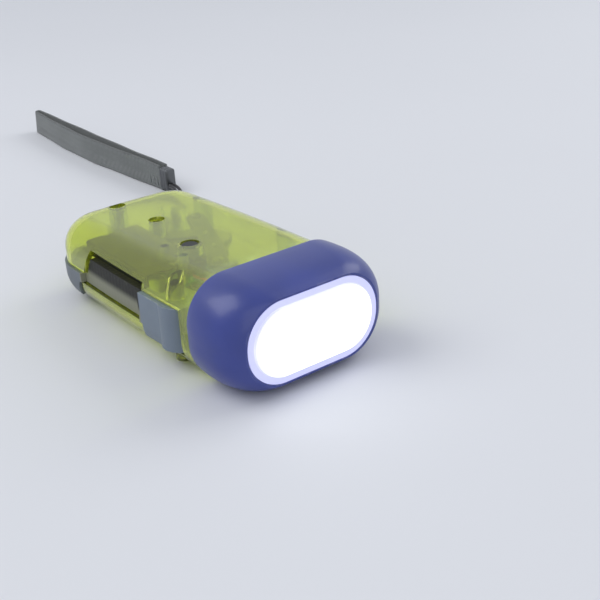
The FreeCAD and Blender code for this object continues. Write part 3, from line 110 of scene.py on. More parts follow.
CAMERA_RAY, SHADOW_RAY, GLOSSY_RAY, TRANSMISSION_RAY = 0, 1, 3, 6


class Socket:
    """A shader output that adds Math nodes where it is used in an expression."""

    def __init__(self, nodes, output):
        self.nodes = nodes
        self.output = output

    def maths(self, operation, *values, clamp=False):
        return self.nodes.node("ShaderNodeMath", {"operation": operation, "use_clamp": clamp}, *values)

    def __add__(self, other):
        return self.maths("ADD", self, other)

    def __sub__(self, other):
        return self.maths("SUBTRACT", self, other)

    def __rsub__(self, other):
        return self.maths("SUBTRACT", other, self)

    def __mul__(self, other):
        return self.maths("MULTIPLY", self, other)

    def __pow__(self, other):
        return self.maths("POWER", self, other)

    __radd__ = __add__
    __rmul__ = __mul__

    def size(self):
        return self.maths("ABSOLUTE", self)

    def sine(self):
        return self.maths("SINE", self)

    def clamped(self):
        return self.maths("ADD", self, 0.0, clamp=True)

    def larger(self, other):
        return self.maths("MAXIMUM", self, other)

    def waves(self, pitch):
        """Swings smoothly between 0 and 1, once in each pitch."""
        return (self * (TURN / pitch)).sine() * 0.5 + 0.5

    def step(self, low, high):
        """Rises smoothly from 0 at low to 1 at high."""
        return self.nodes.node("ShaderNodeMapRange", {"interpolation_type": "SMOOTHSTEP"}, self, low, high)


class Nodes:
    """A node tree that nodes are added to."""

    def __init__(self, tree):
        self.tree = tree

    def set(self, socket, value):
        """Links a socket, or writes a number, a colour or a vector on it."""
        if isinstance(value, Socket):
            self.tree.links.new(value.output, socket)
        elif hasattr(value, "__len__") and len(value) == 3 and len(socket.default_value) == 4:
            socket.default_value = (*value, 1.0)
        else:
            socket.default_value = value

    def node(self, kind, settings=None, *values, output=0, **named):
        """Adds a node: settings first, then the values or links of its sockets, by place or by name."""
        made = self.tree.nodes.new(kind)
        for key, value in (settings or {}).items():
            setattr(made, key, value)
        for socket, value in zip(made.inputs, values):
            self.set(socket, value)
        for key, value in named.items():
            self.set(made.inputs[key.replace("_", " ")], value)
        return Socket(self, made.outputs[output])

    def end(self, shader):
        """Links a shader to the tree's output."""
        output = next(n for n in self.tree.nodes if n.type in ("OUTPUT_MATERIAL", "OUTPUT_WORLD"))
        self.set(output.inputs["Surface"], shader)


class Finish(Nodes):
    """A procedural material: its shader's constants and the nodes that vary over the surface."""

    def __init__(self, name, **constants):
        self.material = bpy.data.materials.new(name)
        self.material.use_nodes = True
        super().__init__(self.material.node_tree)
        self.shader = next(n for n in self.tree.nodes if n.type == "BSDF_PRINCIPLED")
        for socket, value in constants.items():
            self.set(self.shader.inputs[socket.replace("_", " ")], value)

    def feed(self, **sockets):
        """Links the shader's sockets."""
        for key, value in sockets.items():
            self.set(self.shader.inputs[key.replace("_", " ")], value)

    def give_way(self, share, other):
        """Mixes the shader with another one, which takes over where the share is 1."""
        first = Socket(self, self.shader.outputs[0])
        self.end(self.node("ShaderNodeMixShader", None, share, first, other))

    def place(self):
        """Object coordinates in metres."""
        return self.node("ShaderNodeTexCoord", None, output=3)

    def strip_map(self):
        """The piece's own UV map."""
        return self.node("ShaderNodeTexCoord", None, output=2)

    def axes(self, vector):
        """The three numbers of a vector."""
        split = self.tree.nodes.new("ShaderNodeSeparateXYZ")
        self.set(split.inputs[0], vector)
        return [Socket(self, out) for out in split.outputs]

    def from_axis(self, centre=(0.0, 0.0)):
        """Distance from the upright axis through a centre (x, y)."""
        x, y, _ = self.axes(self.place())
        return ((x - centre[0]) ** 2.0 + (y - centre[1]) ** 2.0) ** 0.5

    def noise(self, scale, detail=3.0, rough=0.5):
        """Fractal noise, about 0.5 on average; scale is in cycles per metre."""
        return self.node("ShaderNodeTexNoise", None, Vector=self.place(), Scale=scale, Detail=detail,
                         Roughness=rough)

    def cells(self, scale, feature="F1"):
        """Distance to the nearest of scattered points, or to the walls between them."""
        return self.node("ShaderNodeTexVoronoi", {"feature": feature}, Vector=self.place(), Scale=scale)

    def blend(self, share, first, second):
        """A colour between two."""
        mix = self.tree.nodes.new("ShaderNodeMix")
        mix.data_type = "RGBA"
        mix.clamp_factor = True
        self.set(mix.inputs[0], share)
        self.set(mix.inputs[6], first)
        self.set(mix.inputs[7], second)
        return Socket(self, mix.outputs[2])

    def bump(self, height, distance, strength=1.0, under=None):
        """A normal bent by a height from 0 to 1 over a distance in metres."""
        named = {"Height": height, "Distance": distance, "Strength": strength}
        if under is not None:
            named["Normal"] = under
        return self.node("ShaderNodeBump", None, **named)

    def edges(self, radius):
        """1 along edges that are sharper than a radius, and 0 on open faces."""
        round_normal = self.node("ShaderNodeBevel", {"samples": 6}, Radius=radius)
        plain_normal = self.node("ShaderNodeNewGeometry", None, output=1)
        along = self.node("ShaderNodeVectorMath", {"operation": "DOT_PRODUCT"}, round_normal, plain_normal,
                          output=1)
        return (1.0 - along).step(0.01, 0.12)

    def lit_through(self, tint):
        """Lets the lamps' light pass straight through with a tint, while the eye sees the refraction."""
        straight = self.node("ShaderNodeBsdfTransparent", None, tint)
        self.give_way(self.node("ShaderNodeLightPath", None, output=SHADOW_RAY), straight)

    def tone(self, base, share):
        """A colour made lighter or darker."""
        return [min(1.0, c * share) for c in base]


EDGE_WEAR = 0.7 * MM
GRAIN_HEIGHT = 0.04 * MM


def moulded(name, base, rough=0.32, grain=0.35, wear=0.25, coat=0.0):
    """Moulded plastic: soft patches of tone, fine moulded grain, rubbed edges and a few scuffs."""
    made = Finish(name, IOR=1.5, Coat_Weight=coat, Coat_Roughness=0.12)
    patches = made.noise(60.0, 4.0)
    rubbed = made.edges(EDGE_WEAR) * made.noise(420.0, 5.0).step(0.42, 0.62)
    scuffs = made.noise(95.0, 6.0, 0.7).step(0.60, 0.74) * made.noise(900.0, 2.0).step(0.45, 0.7)
    tint = made.blend(patches.step(0.3, 0.7), made.tone(base, 0.92), made.tone(base, 1.08))
    tint = made.blend(rubbed * wear, tint, [0.5 + 0.5 * c for c in base])
    fine = made.noise(3800.0, 2.0, 0.6)
    made.feed(Base_Color=tint, Roughness=(rough + 0.10 * (patches - 0.5) + 0.16 * scuffs + 0.12 * rubbed).clamped(),
              Normal=made.bump(fine + 0.4 * scuffs, GRAIN_HEIGHT, grain))
    return made


# Where and in what colour the casing carries its painted glow next to the head
HEAD_LIGHT_X = mm(20.0, 34.0)
HEAD_LIGHT_Z = mm(0.0, 20.0)
HEAD_LIGHT_COLOUR = (0.55, 0.72, 0.42)
FLOW_HEIGHT = 0.1 * MM


def tinted_casing(name, base):
    """Clear-tinted plastic: coloured glass-like walls with a slight haze, flow marks and fine scuffs.

    Lamps shine through it straight, tinted, so that the works inside are lit as through thin clear walls.
    Next to the head it carries a faint painted glow: emission that stands in for the light of the torch's own lamps
    inside the walls.
    """
    made = Finish(name, IOR=1.49, Transmission_Weight=0.93, Coat_Weight=0.25, Coat_Roughness=0.06,
                  Emission_Strength=0.14)
    patches = made.noise(45.0, 4.0)
    flow = made.noise(260.0, 2.0, 0.4)
    scuffs = made.noise(120.0, 6.0, 0.7).step(0.58, 0.75) * made.noise(1500.0, 2.0).step(0.5, 0.7)
    tint = made.blend(patches.step(0.25, 0.75), made.tone(base, 0.93), made.tone(base, 1.06))
    made.feed(Base_Color=tint, Roughness=(0.05 + 0.05 * patches + 0.20 * scuffs).clamped(),
              Normal=made.bump(flow + 0.3 * scuffs, FLOW_HEIGHT, 0.10))
    x, _, z = made.axes(made.place())
    # painted glow: the casing emits light near the head in place of the lamps' light inside its walls
    painted_lamp_glow = x.step(*HEAD_LIGHT_X) * (0.35 + 0.9 * flow.step(0.45, 0.70)) * z.step(*HEAD_LIGHT_Z)
    made.feed(Emission_Color=made.blend(painted_lamp_glow, (0.0, 0.0, 0.0), HEAD_LIGHT_COLOUR))
    made.lit_through([0.35 + 0.6 * c for c in base])
    return made


LATHE_PITCH = 0.28 * MM
METAL_GRAIN_HEIGHT = 0.02 * MM


def metal(name, base, rough=0.30, lines=0.0, centre=None, stain=0.15):
    """Worked metal: turned rings about a centre, or plain grain, with faint stains."""
    made = Finish(name, Metallic=1.0)
    spots = made.noise(350.0, 5.0, 0.65)
    height = made.noise(2600.0, 2.0) if centre is None else made.from_axis(centre).waves(LATHE_PITCH)
    tint = made.blend(spots.step(0.45, 0.75) * stain, base, made.tone(base, 0.55))
    made.feed(Base_Color=tint, Roughness=(rough + 0.14 * (spots - 0.5)).clamped(),
              Normal=made.bump(height, METAL_GRAIN_HEIGHT, 0.25 + lines))
    return made


# Mesh tools


def grid_faces(rows, columns, around):
    """The faces of a grid of points, counted row by row, and the two faces that close its first and last rows."""
    i, j = np.meshgrid(np.arange(rows - 1), np.arange(around), indexing="ij")
    i, j = i.ravel(), j.ravel()
    k = (j + 1) % columns
    quads = np.stack([i * columns + j, i * columns + k, (i + 1) * columns + k, (i + 1) * columns + j], 1)
    ring = np.arange(columns)
    return quads, np.stack([ring[::-1], ring + (rows - 1) * columns])


def add_piece(name, mesh, body, finish):
    """Puts a mesh into the scene with its finish, riding on a body unless that is None."""
    piece = bpy.data.objects.new(name, mesh)
    bpy.context.scene.collection.objects.link(piece)
    mesh.materials.append(finish.material)
    if body:
        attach(piece, body)
    return piece


def surface(name, points, body, finish, wrap=False, ends=False, strip_uv=None):
    """A mesh over a grid of points (rows, columns, 3).

    Each face joins point (i, j) with its neighbours (i+1, j), (i+1, j+1) and (i, j+1). With wrap, the last
    column joins the first. With ends, the first and last rows are closed by one face each.
    strip_uv gives the two lengths in metres that the UV map runs over.
    """
    rows, columns = points.shape[:2]
    around = columns if wrap else columns - 1
    quads, caps = grid_faces(rows, columns, around)
    faces = quads.tolist() + (caps.tolist() if ends else [])
    mesh = bpy.data.meshes.new(name)
    mesh.from_pydata(points.reshape(-1, 3).tolist(), [], faces)
    mesh.shade_smooth()
    if strip_uv:
        layer = mesh.uv_layers.new(name="Strip")
        i, j = np.divmod(np.arange(len(quads)), around)
        u = np.stack([i, i, i + 1, i + 1], 1) / (rows - 1) * strip_uv[0]
        v = np.stack([j, j + 1, j + 1, j], 1) / around * strip_uv[1]
        flat = np.stack([u, v], 2).reshape(-1, 2)
        whole = np.zeros((len(mesh.loops), 2))
        whole[:len(flat)] = flat
        layer.data.foreach_set("uv", whole.ravel())
    mesh.update()
    return add_piece(name, mesh, body, finish)


def running_length(path):
    """How far along the path each of its points is."""
    return np.concatenate([[0], np.cumsum(np.linalg.norm(np.diff(path, axis=0), axis=1))])


def directions(path):
    """Unit tangents of a row of points, from the points on either side."""
    along = np.gradient(path, axis=0)
    return along / np.linalg.norm(along, axis=1, keepdims=True)


def sweep(path, across, up, outline):
    """Points of an outline carried along a path: path + a * across + b * up for each outline point (a, b)."""
    return (path[:, None, :] + outline[None, :, :1] * across[:, None, :] + outline[None, :, 1:] * up[:, None, :])


def rounded_outline(width, height, corner, steps=6):
    """A rectangle with round corners, as (a, b) points counted anticlockwise."""
    parts = []
    for quarter, (a, b) in enumerate([(1, 1), (-1, 1), (-1, -1), (1, -1)]):
        angle = np.linspace(0, TURN / 4, steps) + quarter * TURN / 4
        parts.append(np.stack([a * (width / 2 - corner) + corner * np.cos(angle),
                               b * (height / 2 - corner) + corner * np.sin(angle)], 1))
    return np.concatenate(parts)


def middle_of(node):
    """The middle of a node's box, seen from above, as (x, y)."""
    low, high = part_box(node)
    return (low.x + high.x) / 2, (low.y + high.y) / 2


def block(name, centre, size, body, finish, power, rows=24, columns=32):
    """A closed rounded block.

    With v from -90 to 90 degrees and u round the block, x = a C(v) C(u), y = b C(v) S(u), z = c S(v), where
    C and S are the cosine and sine raised to a power with their sign kept.
    """
    v = np.linspace(-TURN / 4, TURN / 4, rows)[:, None]
    u = np.linspace(0, TURN, columns, endpoint=False)[None, :]

    def signed(values):
        return np.sign(values) * np.abs(values) ** power

    points = np.stack([signed(np.cos(v)) * signed(np.cos(u)) * size[0] / 2,
                       signed(np.cos(v)) * signed(np.sin(u)) * size[1] / 2,
                       signed(np.sin(v)) * np.ones_like(u) * size[2] / 2], 2)
    return surface(name, points[1:-1] + np.array(centre), body, finish, wrap=True, ends=True)


def dress(finish, *nodes):
    """Gives CAD nodes a finish in place of the plain one."""
    for name in nodes:
        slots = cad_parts[name].data.materials
        slots.clear()
        slots.append(finish.material)


# The stage


CAMERA_PLACE = mm(248.6, -146.9, 140.5)
CAMERA_AIM = (-0.7318, 0.5303, -0.4282)
CAMERA_ROLL = -3.62
CAMERA_LENS = 63.83
CAMERA_SENSOR = 36.0
BACKDROP = (0.68, 0.71, 0.77)
BACKDROP_FROM = (0.35, 1.3)
FLOOR_RADIUS = 12.0
FLOOR_DROP = 0.02 * MM
SKY = (0.86, 0.90, 1.0)
STUDIO_LAMPS = [
    ("key", (-0.45, -0.55, 0.85), 0.7, 4.2),
    ("fill", (0.75, -0.25, 0.55), 0.9, 1.6),
    ("back", (0.10, 0.80, 0.60), 0.6, 2.4),
]


class TORCH_OT_stage(bpy.types.Operator):
    """Make the camera, the pale floor and the soft studio light"""

    bl_idname = "torch.stage"
    bl_label = "Stage"

    def execute(self, context):
        scene = context.scene
        scene.view_settings.view_transform = "Standard"
        aim = Vector(CAMERA_AIM).normalized()
        level = aim.cross(Vector((0, 0, 1))).normalized()
        upright = level.cross(aim)
        turn = Matrix.Rotation(np.radians(-CAMERA_ROLL), 3, aim)
        level, upright = turn @ level, turn @ upright
        lens = bpy.data.cameras.new("camera")
        lens.lens = CAMERA_LENS
        lens.sensor_width = CAMERA_SENSOR
        lens.clip_start = 0.01
        eye = bpy.data.objects.new("camera", lens)
        eye.matrix_world = Matrix.Translation(CAMERA_PLACE) @ Matrix((level, upright, -aim)).transposed().to_4x4()
        scene.collection.objects.link(eye)
        scene.camera = eye
        self.make_floor(context)
        self.make_lights(scene)
        return {"FINISHED"}

    def make_floor(self, context):
        """A flat round floor of pale paper, made of rings, that turns into the plain backdrop far away."""
        finish = Finish("pale_floor", Roughness=0.7)
        base = tuple(context.scene.torch_colours.floor)
        shade = finish.noise(6.0, 3.0)
        finish.feed(Base_Color=finish.blend(shade, finish.tone(base, 0.985), finish.tone(base, 1.015)))
        away = finish.from_axis()
        finish.give_way(away.step(*BACKDROP_FROM), finish.node("ShaderNodeEmission", None, BACKDROP))
        angle = np.linspace(0, TURN, 64, endpoint=False)
        radius = np.geomspace(MM, FLOOR_RADIUS, 24)[::-1, None]
        points = np.stack([radius * np.cos(angle), radius * np.sin(angle), 0 * radius * angle - FLOOR_DROP], 2)
        surface("floor", points, None, finish, wrap=True)

    def make_lights(self, scene):
        """A pale sky, which camera, reflections and clear plastic see as the backdrop, and large soft lamps."""
        sky = bpy.data.worlds.new("studio")
        sky.use_nodes = True
        scene.world = sky
        nodes = Nodes(sky.node_tree)
        seen = sum(nodes.node("ShaderNodeLightPath", None, output=ray)
                   for ray in (CAMERA_RAY, GLOSSY_RAY, TRANSMISSION_RAY)).clamped()
        light = nodes.node("ShaderNodeBackground", None, SKY, 0.55)
        backdrop = nodes.node("ShaderNodeBackground", None, BACKDROP, 1.0)
        nodes.end(nodes.node("ShaderNodeMixShader", None, seen, light, backdrop))
        for name, place, size, power in STUDIO_LAMPS:
            lamp = bpy.data.lights.new(name, "AREA")
            lamp.size = size
            lamp.energy = power
            holder = bpy.data.objects.new(name, lamp)
            holder.location = place
            holder.rotation_mode = "QUATERNION"
            holder.rotation_quaternion = (-Vector(place)).to_track_quat("-Z", "Y")
            scene.collection.objects.link(holder)


# Strap


CORD_ROUTE = [mm(*p) for p in [
    (-107.0, 52.1, 3.1),
    (-102.2, 52.1, 3.1),
    (-95.5, 49.4, 0.72),
    (-77.5, 39.1, 0.80),
    (-60.2, 27.0, 4.6),
    (-49.6, 20.95, 12.3),
    (-43.38, 17.87, 12.9),
    (-45.13, 14.38, 12.9),
    (-51.37, 17.46, 12.3),
    (-61.8, 24.0, 4.4),
    (-78.5, 36.4, 0.80),
    (-95.5, 47.2, 0.72),
    (-102.2, 50.3, 3.1),
    (-107.0, 50.3, 3.1),
]]
BAND_ROUTE = [mm(x, y, 5.3) for x, y in [
    (-112.0, 51.2),
    (-119.0, 51.2),
    (-142.0, 50.4),
    (-172.0, 49.8),
    (-204.0, 50.8),
    (-231.0, 52.4),
]]
BAND_SPREAD = mm(1.2, 1.3, 2.2, 3.8, 3.2, 1.4)
BAND_POINTS = 220
SPREAD_SOFTENING = 20
CORD_STRANDS = 3
STRAND_DEPTH = 0.16
CORD_SIDES = 24
YARN_WAVES = (5200.0, 3400.0)
YARN_HEIGHT = 0.08 * MM
WEFT_PITCH = 1.05 * MM
WARP_PITCH = 0.88 * MM
WEAVE_HEIGHT = 0.22 * MM
RIPPLE = (0.03, 190.0)
LEAN_START = 0.6
STITCHED_WIDTH = 0.8
STITCH_ROW_STEP = 5
THREAD_RADII = mm(0.24, 0.20)
THREAD_HEIGHT = 0.05 * MM
FERRULE_DENTS = (-0.22, 0.22)
DENT_DEPTH = 0.10
DENT_REACH = 0.06
FERRULE_ROLL = (0.42, 0.085)
FERRULE_CORNER = 1.1 * MM


def smooth_line(name, route):
    """The points of a smooth spline through the bends of a route."""
    curve = bpy.data.curves.new(name, "CURVE")
    curve.dimensions = "3D"
    curve.resolution_u = 24
    spline = curve.splines.new("NURBS")
    spline.points.add(len(route) - 1)
    for point, place in zip(spline.points, route):
        point.co = (*place, 1.0)
    spline.order_u = 3
    spline.use_endpoint_u = True
    holder = bpy.data.objects.new(name, curve)
    bpy.context.scene.collection.objects.link(holder)
    bpy.context.view_layer.update()
    mesh = bpy.data.meshes.new_from_object(holder)
    points = np.empty(len(mesh.vertices) * 3)
    mesh.vertices.foreach_get("co", points)
    bpy.data.objects.remove(holder)
    bpy.data.meshes.remove(mesh)
    return points.reshape(-1, 3)


class TORCH_OT_strap_cord(bpy.types.Operator):
    """Make the thin twisted cord that is looped round the strap pin"""

    bl_idname = "torch.strap_cord"
    bl_label = "Strap cord"

    def execute(self, context):
        sizes = context.scene.torch_sizes
        base = tuple(context.scene.torch_colours.cord)
        path = smooth_line("strap_cord_route", CORD_ROUTE)
        tangent = directions(path)
        across = np.cross(tangent, np.array([0.0, 0.0, 1.0]))
        across /= np.linalg.norm(across, axis=1, keepdims=True)
        up = np.cross(across, tangent)
        run = running_length(path)
        turn = np.linspace(0, TURN, CORD_SIDES, endpoint=False)[None, :]
        lobes = np.abs(np.cos(CORD_STRANDS / 2 * (turn - TURN * run[:, None] / sizes.cord_lay)))
        radius = sizes.cord_diameter / 2 * (1 - STRAND_DEPTH + STRAND_DEPTH * lobes)
        points = (path[:, None] + (radius * np.cos(turn))[..., None] * across[:, None]
                  + (radius * np.sin(turn))[..., None] * up[:, None])
        finish = Finish("cord_yarn", Roughness=0.8, Sheen_Weight=0.35, Sheen_Roughness=0.4)
        u, v, _ = finish.axes(finish.strip_map())
        yarn = (u * YARN_WAVES[0] + v * YARN_WAVES[1]).sine() * 0.5 + 0.5
        fuzz = finish.noise(2500.0, 3.0)
        finish.feed(Base_Color=finish.blend(yarn * 0.6 + fuzz * 0.4, finish.tone(base, 0.6), finish.tone(base, 2.0)),
                    Normal=finish.bump(yarn, YARN_HEIGHT, 0.8))
        cord = surface("strap_cord_braid", points, "casing", finish, wrap=True, ends=True,
                       strip_uv=(run[-1], np.pi * sizes.cord_diameter))
        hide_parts("strap_cord")
        return {"FINISHED"}


class TORCH_OT_strap_band(bpy.types.Operator):
    """Make the webbing loop that stands on its edge, with its stitches"""

    bl_idname = "torch.strap_band"
    bl_label = "Strap band"

    def execute(self, context):
        sizes = context.scene.torch_sizes
        base = tuple(context.scene.torch_colours.webbing)
        line, even, spread = self.middle_line()
        along = directions(line)
        side = np.stack([along[:, 1], -along[:, 0], 0 * even], 1)
        half = ((spread + sizes.band_layer) / 2)[:, None]
        turn = np.linspace(TURN / 4, -TURN / 4, 16)[1:-1, None]
        bend = line[-1] + half[-1] * (np.sin(turn) * side[-1] + np.cos(turn) * along[-1])
        path = np.concatenate([line + side * half, bend, (line - side * half)[::-1]])
        run = running_length(path)
        ahead = directions(path)
        outward = np.stack([ahead[:, 1], -ahead[:, 0], 0 * run], 1)
        lean = (sizes.band_lean * np.sin(run * (TURN / run[-1]) + LEAN_START)
                + RIPPLE[0] * np.sin(run * RIPPLE[1]))
        upward = np.stack([0 * run, 0 * run, 1 + 0 * run], 1) + outward * lean[:, None]
        upward /= np.linalg.norm(upward, axis=1, keepdims=True)
        outline = rounded_outline(sizes.band_width * 0.985, sizes.band_layer, sizes.band_layer * 0.42, 5)
        points = sweep(path, upward, outward, outline)
        band = surface("strap_webbing", points, "casing", self.webbing(base), wrap=True, ends=True,
                       strip_uv=(run[-1], 2 * (sizes.band_width + sizes.band_layer)))
        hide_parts("strap_band")
        self.stitches(line, side, half + sizes.band_layer / 2, sizes, base)
        return {"FINISHED"}

    def middle_line(self):
        """The line between the band's two layers, how far along each point is and how far apart they are there."""
        smooth = smooth_line("strap_band_route", BAND_ROUTE)
        run = running_length(smooth)
        even = np.linspace(0, run[-1], BAND_POINTS)
        line = np.stack([np.interp(even, run, smooth[:, k]) for k in range(3)], 1)
        route_run = running_length(np.array(BAND_ROUTE))
        spread = np.interp(even, route_run * (run[-1] / route_run[-1]), BAND_SPREAD)
        window = 2 * SPREAD_SOFTENING + 1
        soft = np.convolve(np.pad(spread, SPREAD_SOFTENING, "edge"), np.ones(window) / window, "valid")
        return line, even, soft

    def webbing(self, base):
        """Woven webbing: ribs across the band, warp ends along it, and loose fibres."""
        finish = Finish("strap_webbing", Roughness=0.85, Sheen_Weight=0.45, Sheen_Roughness=0.45)
        u, v, _ = finish.axes(finish.strip_map())
        weft = (u * (TURN / WEFT_PITCH)).sine()
        warp = (v * (TURN / WARP_PITCH)).sine()
        twill = (weft * warp) * 0.5 + 0.5
        ribs = weft * 0.5 + 0.5
        fuzz = finish.noise(1800.0, 4.0)
        dust = finish.noise(70.0, 4.0).step(0.45, 0.8)
        height = twill * 0.65 + ribs * 0.35
        tint = finish.blend(height, finish.tone(base, 0.5), finish.tone(base, 1.5))
        tint = finish.blend(fuzz.step(0.5, 0.8) * 0.35 + dust * 0.15, tint, finish.tone(base, 2.6))
        finish.feed(Base_Color=tint, Roughness=(0.78 + 0.15 * fuzz).clamped(),
                    Normal=finish.bump(height + 0.25 * fuzz, WEAVE_HEIGHT, 0.9))
        return finish

    def stitches(self, line, side, reach, sizes, base):
        """Rows of raised thread ovals on both outer faces of the near end.

        With u along a stitch and v round it, x = a sin u cos v, y = b sin u sin v and z = c cos u.
        """
        thread = Finish("strap_thread", Roughness=0.75)
        twist = thread.noise(4000.0, 2.0)
        thread.feed(Base_Color=thread.blend(twist, thread.tone(base, 1.2), thread.tone(base, 3.2)),
                    Normal=thread.bump(twist, THREAD_HEIGHT, 0.6))
        count = int(sizes.band_width * STITCHED_WIDTH / sizes.stitch)
        at = STITCH_ROW_STEP * (1 + np.arange(sizes.stitch_rows))
        heights = (np.arange(count) - (count - 1) / 2) * sizes.stitch
        faces_at = np.concatenate([line[at] + side[at] * reach[at], line[at] - side[at] * reach[at]])
        places = (faces_at[:, None] + heights[None, :, None] * np.array([0, 0, 1.0])).reshape(-1, 3)
        u = np.linspace(0, TURN / 2, 7)[1:-1, None]
        v = np.linspace(0, TURN, 8, endpoint=False)[None, :]
        one = np.stack([np.sin(u) * np.cos(v) * THREAD_RADII[0], np.sin(u) * np.sin(v) * THREAD_RADII[1],
                        np.cos(u) * np.ones_like(v) * sizes.stitch * 0.46], 2)
        rows, columns = one.shape[:2]
        quads, caps = grid_faces(rows, columns, columns)
        first = (np.arange(len(places)) * rows * columns)[:, None, None]
        faces = (quads[None] + first).reshape(-1, 4).tolist() + (caps[None] + first).reshape(-1, columns).tolist()
        mesh = bpy.data.meshes.new("strap_stitches")
        mesh.from_pydata((one[None] + places[:, None, None]).reshape(-1, 3).tolist(), [], faces)
        mesh.shade_smooth()
        add_piece("strap_stitches", mesh, "casing", thread)


class TORCH_OT_strap_ferrule(bpy.types.Operator):
    """Make the crimped ferrule that holds the cord's ends and the band"""

    bl_idname = "torch.strap_ferrule"
    bl_label = "Strap ferrule"

    def execute(self, context):
        low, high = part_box("strap_crimp")
        middle = (np.array(low) + np.array(high)) / 2
        size = np.array(high) - np.array(low)
        run = np.linspace(-0.5, 0.5, 60)
        dents = 1 - DENT_DEPTH * sum(np.exp(-((run - d) / DENT_REACH) ** 2) for d in FERRULE_DENTS)
        rolled = np.sqrt(np.clip(1 - ((np.abs(run) - FERRULE_ROLL[0]).clip(0) / FERRULE_ROLL[1]) ** 2, 0.2, 1))
        outline = rounded_outline(size[1] * 0.999, size[2] * 0.999, FERRULE_CORNER, 8)
        scale = (dents * (0.86 + 0.14 * rolled))[:, None, None]
        body = outline[None] * scale
        points = np.stack([np.broadcast_to(middle[0] + run[:, None] * size[0], body.shape[:2]),
                           middle[1] + body[..., 0], middle[2] + body[..., 1]], 2)
        finish = metal("ferrule_steel", (0.14, 0.145, 0.15), 0.38, stain=0.3)
        piece = surface("strap_ferrule", points, "casing", finish, wrap=True, ends=True)
        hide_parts("strap_crimp")
        return {"FINISHED"}


# Torch


class TORCH_OT_casing(bpy.types.Operator):
    """Give the two casing halves their clear-tinted plastic"""

    bl_idname = "torch.casing"
    bl_label = "Casing"

    def execute(self, context):
        base = tuple(context.scene.torch_colours.casing)
        dress(tinted_casing("casing_plastic", base), "lower_shell", "upper_shell")
        return {"FINISHED"}


LAMP_TIP = mm(40.5, 47.0)
LENS_FLANGE = mm(2.8, 1.6)
LENS_FRONT = mm(1.6, 0.6)
FLANGE_GLOW = 0.34
SIDE_GLOW = 0.35


class TORCH_OT_head(bpy.types.Operator):
    """Give the head its dark blue plastic and the lens and lamps their light"""

    bl_idname = "torch.head"
    bl_label = "Head, lens and lamps"

    def execute(self, context):
        colours = context.scene.torch_colours
        dress(moulded("head_plastic", tuple(colours.head), rough=0.34, coat=0.15), "head_bezel")
        dress(self.lit_lens(tuple(colours.glow), tuple(colours.rim)), "lens")
        bright = Finish("bright_plating", Metallic=1.0)
        bright.feed(Base_Color=bright.blend(bright.noise(300.0), (0.82, 0.83, 0.86), (0.93, 0.93, 0.95)),
                    Roughness=0.08 + 0.08 * bright.noise(600.0))
        dress(bright, "reflector")
        lamp = Finish("lamp_resin", Roughness=0.12, Emission_Strength=2.0)
        x, _, _ = lamp.axes(lamp.place())
        tip = x.step(*LAMP_TIP)
        lamp.feed(Base_Color=lamp.blend(tip, (0.85, 0.87, 0.92), (0.98, 0.98, 1.0)),
                  Emission_Color=lamp.blend(tip, (0.25, 0.27, 0.35), tuple(colours.glow)))
        dress(lamp, "lamps")
        return {"FINISHED"}

    def lit_lens(self, glow, rim):
        """Clear plastic lit from behind.

        The raised middle is a stadium about the Y axis: with d the distance from the middle segment,
        the light is full inside and falls to the flange's colour at its edge.
        """
        made = Finish("lens_plastic", IOR=1.5, Coat_Weight=0.4, Coat_Roughness=0.04, Emission_Strength=1.0)
        low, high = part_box("lens")
        middle_z = (low.z + high.z) / 2
        radius = (high.z - low.z) / 2
        half = (high.y - low.y) / 2 - radius
        x, y, z = made.axes(made.place())
        beyond = (y.size() - half).larger(0.0)
        away = (beyond ** 2.0 + (z - middle_z) ** 2.0) ** 0.5
        flange = away.step(radius - LENS_FLANGE[0], radius - LENS_FLANGE[1])
        front = x.step(high.x - LENS_FRONT[0], high.x - LENS_FRONT[1])
        patches = made.noise(500.0, 2.0)
        tint = made.blend(flange, (0.96, 0.97, 1.0), rim)
        light = made.blend(flange, glow, [c * FLANGE_GLOW for c in rim])
        light = made.blend((1.0 - front) * (1.0 - flange) * SIDE_GLOW, light, rim)
        made.feed(Base_Color=tint, Emission_Color=light, Roughness=0.10 + 0.06 * patches)
        return made


FINGER_STRETCH = mm(-32.3, 5.7)
# Heights over which painted shade darkens the top of the finger stretch
FINGER_SHADE = mm(12.6, 15.4)
SKIN_DEPTH = 20.0 * MM
COLOUR_EDGE = mm(-0.4, 0.4)
TAIL_TONE_X = mm(-40.0, -5.0)
RIB_PITCH = 1.9 * MM
RIB_HEIGHT = 0.1 * MM
BUTTON_RING_PITCH = 0.9 * MM


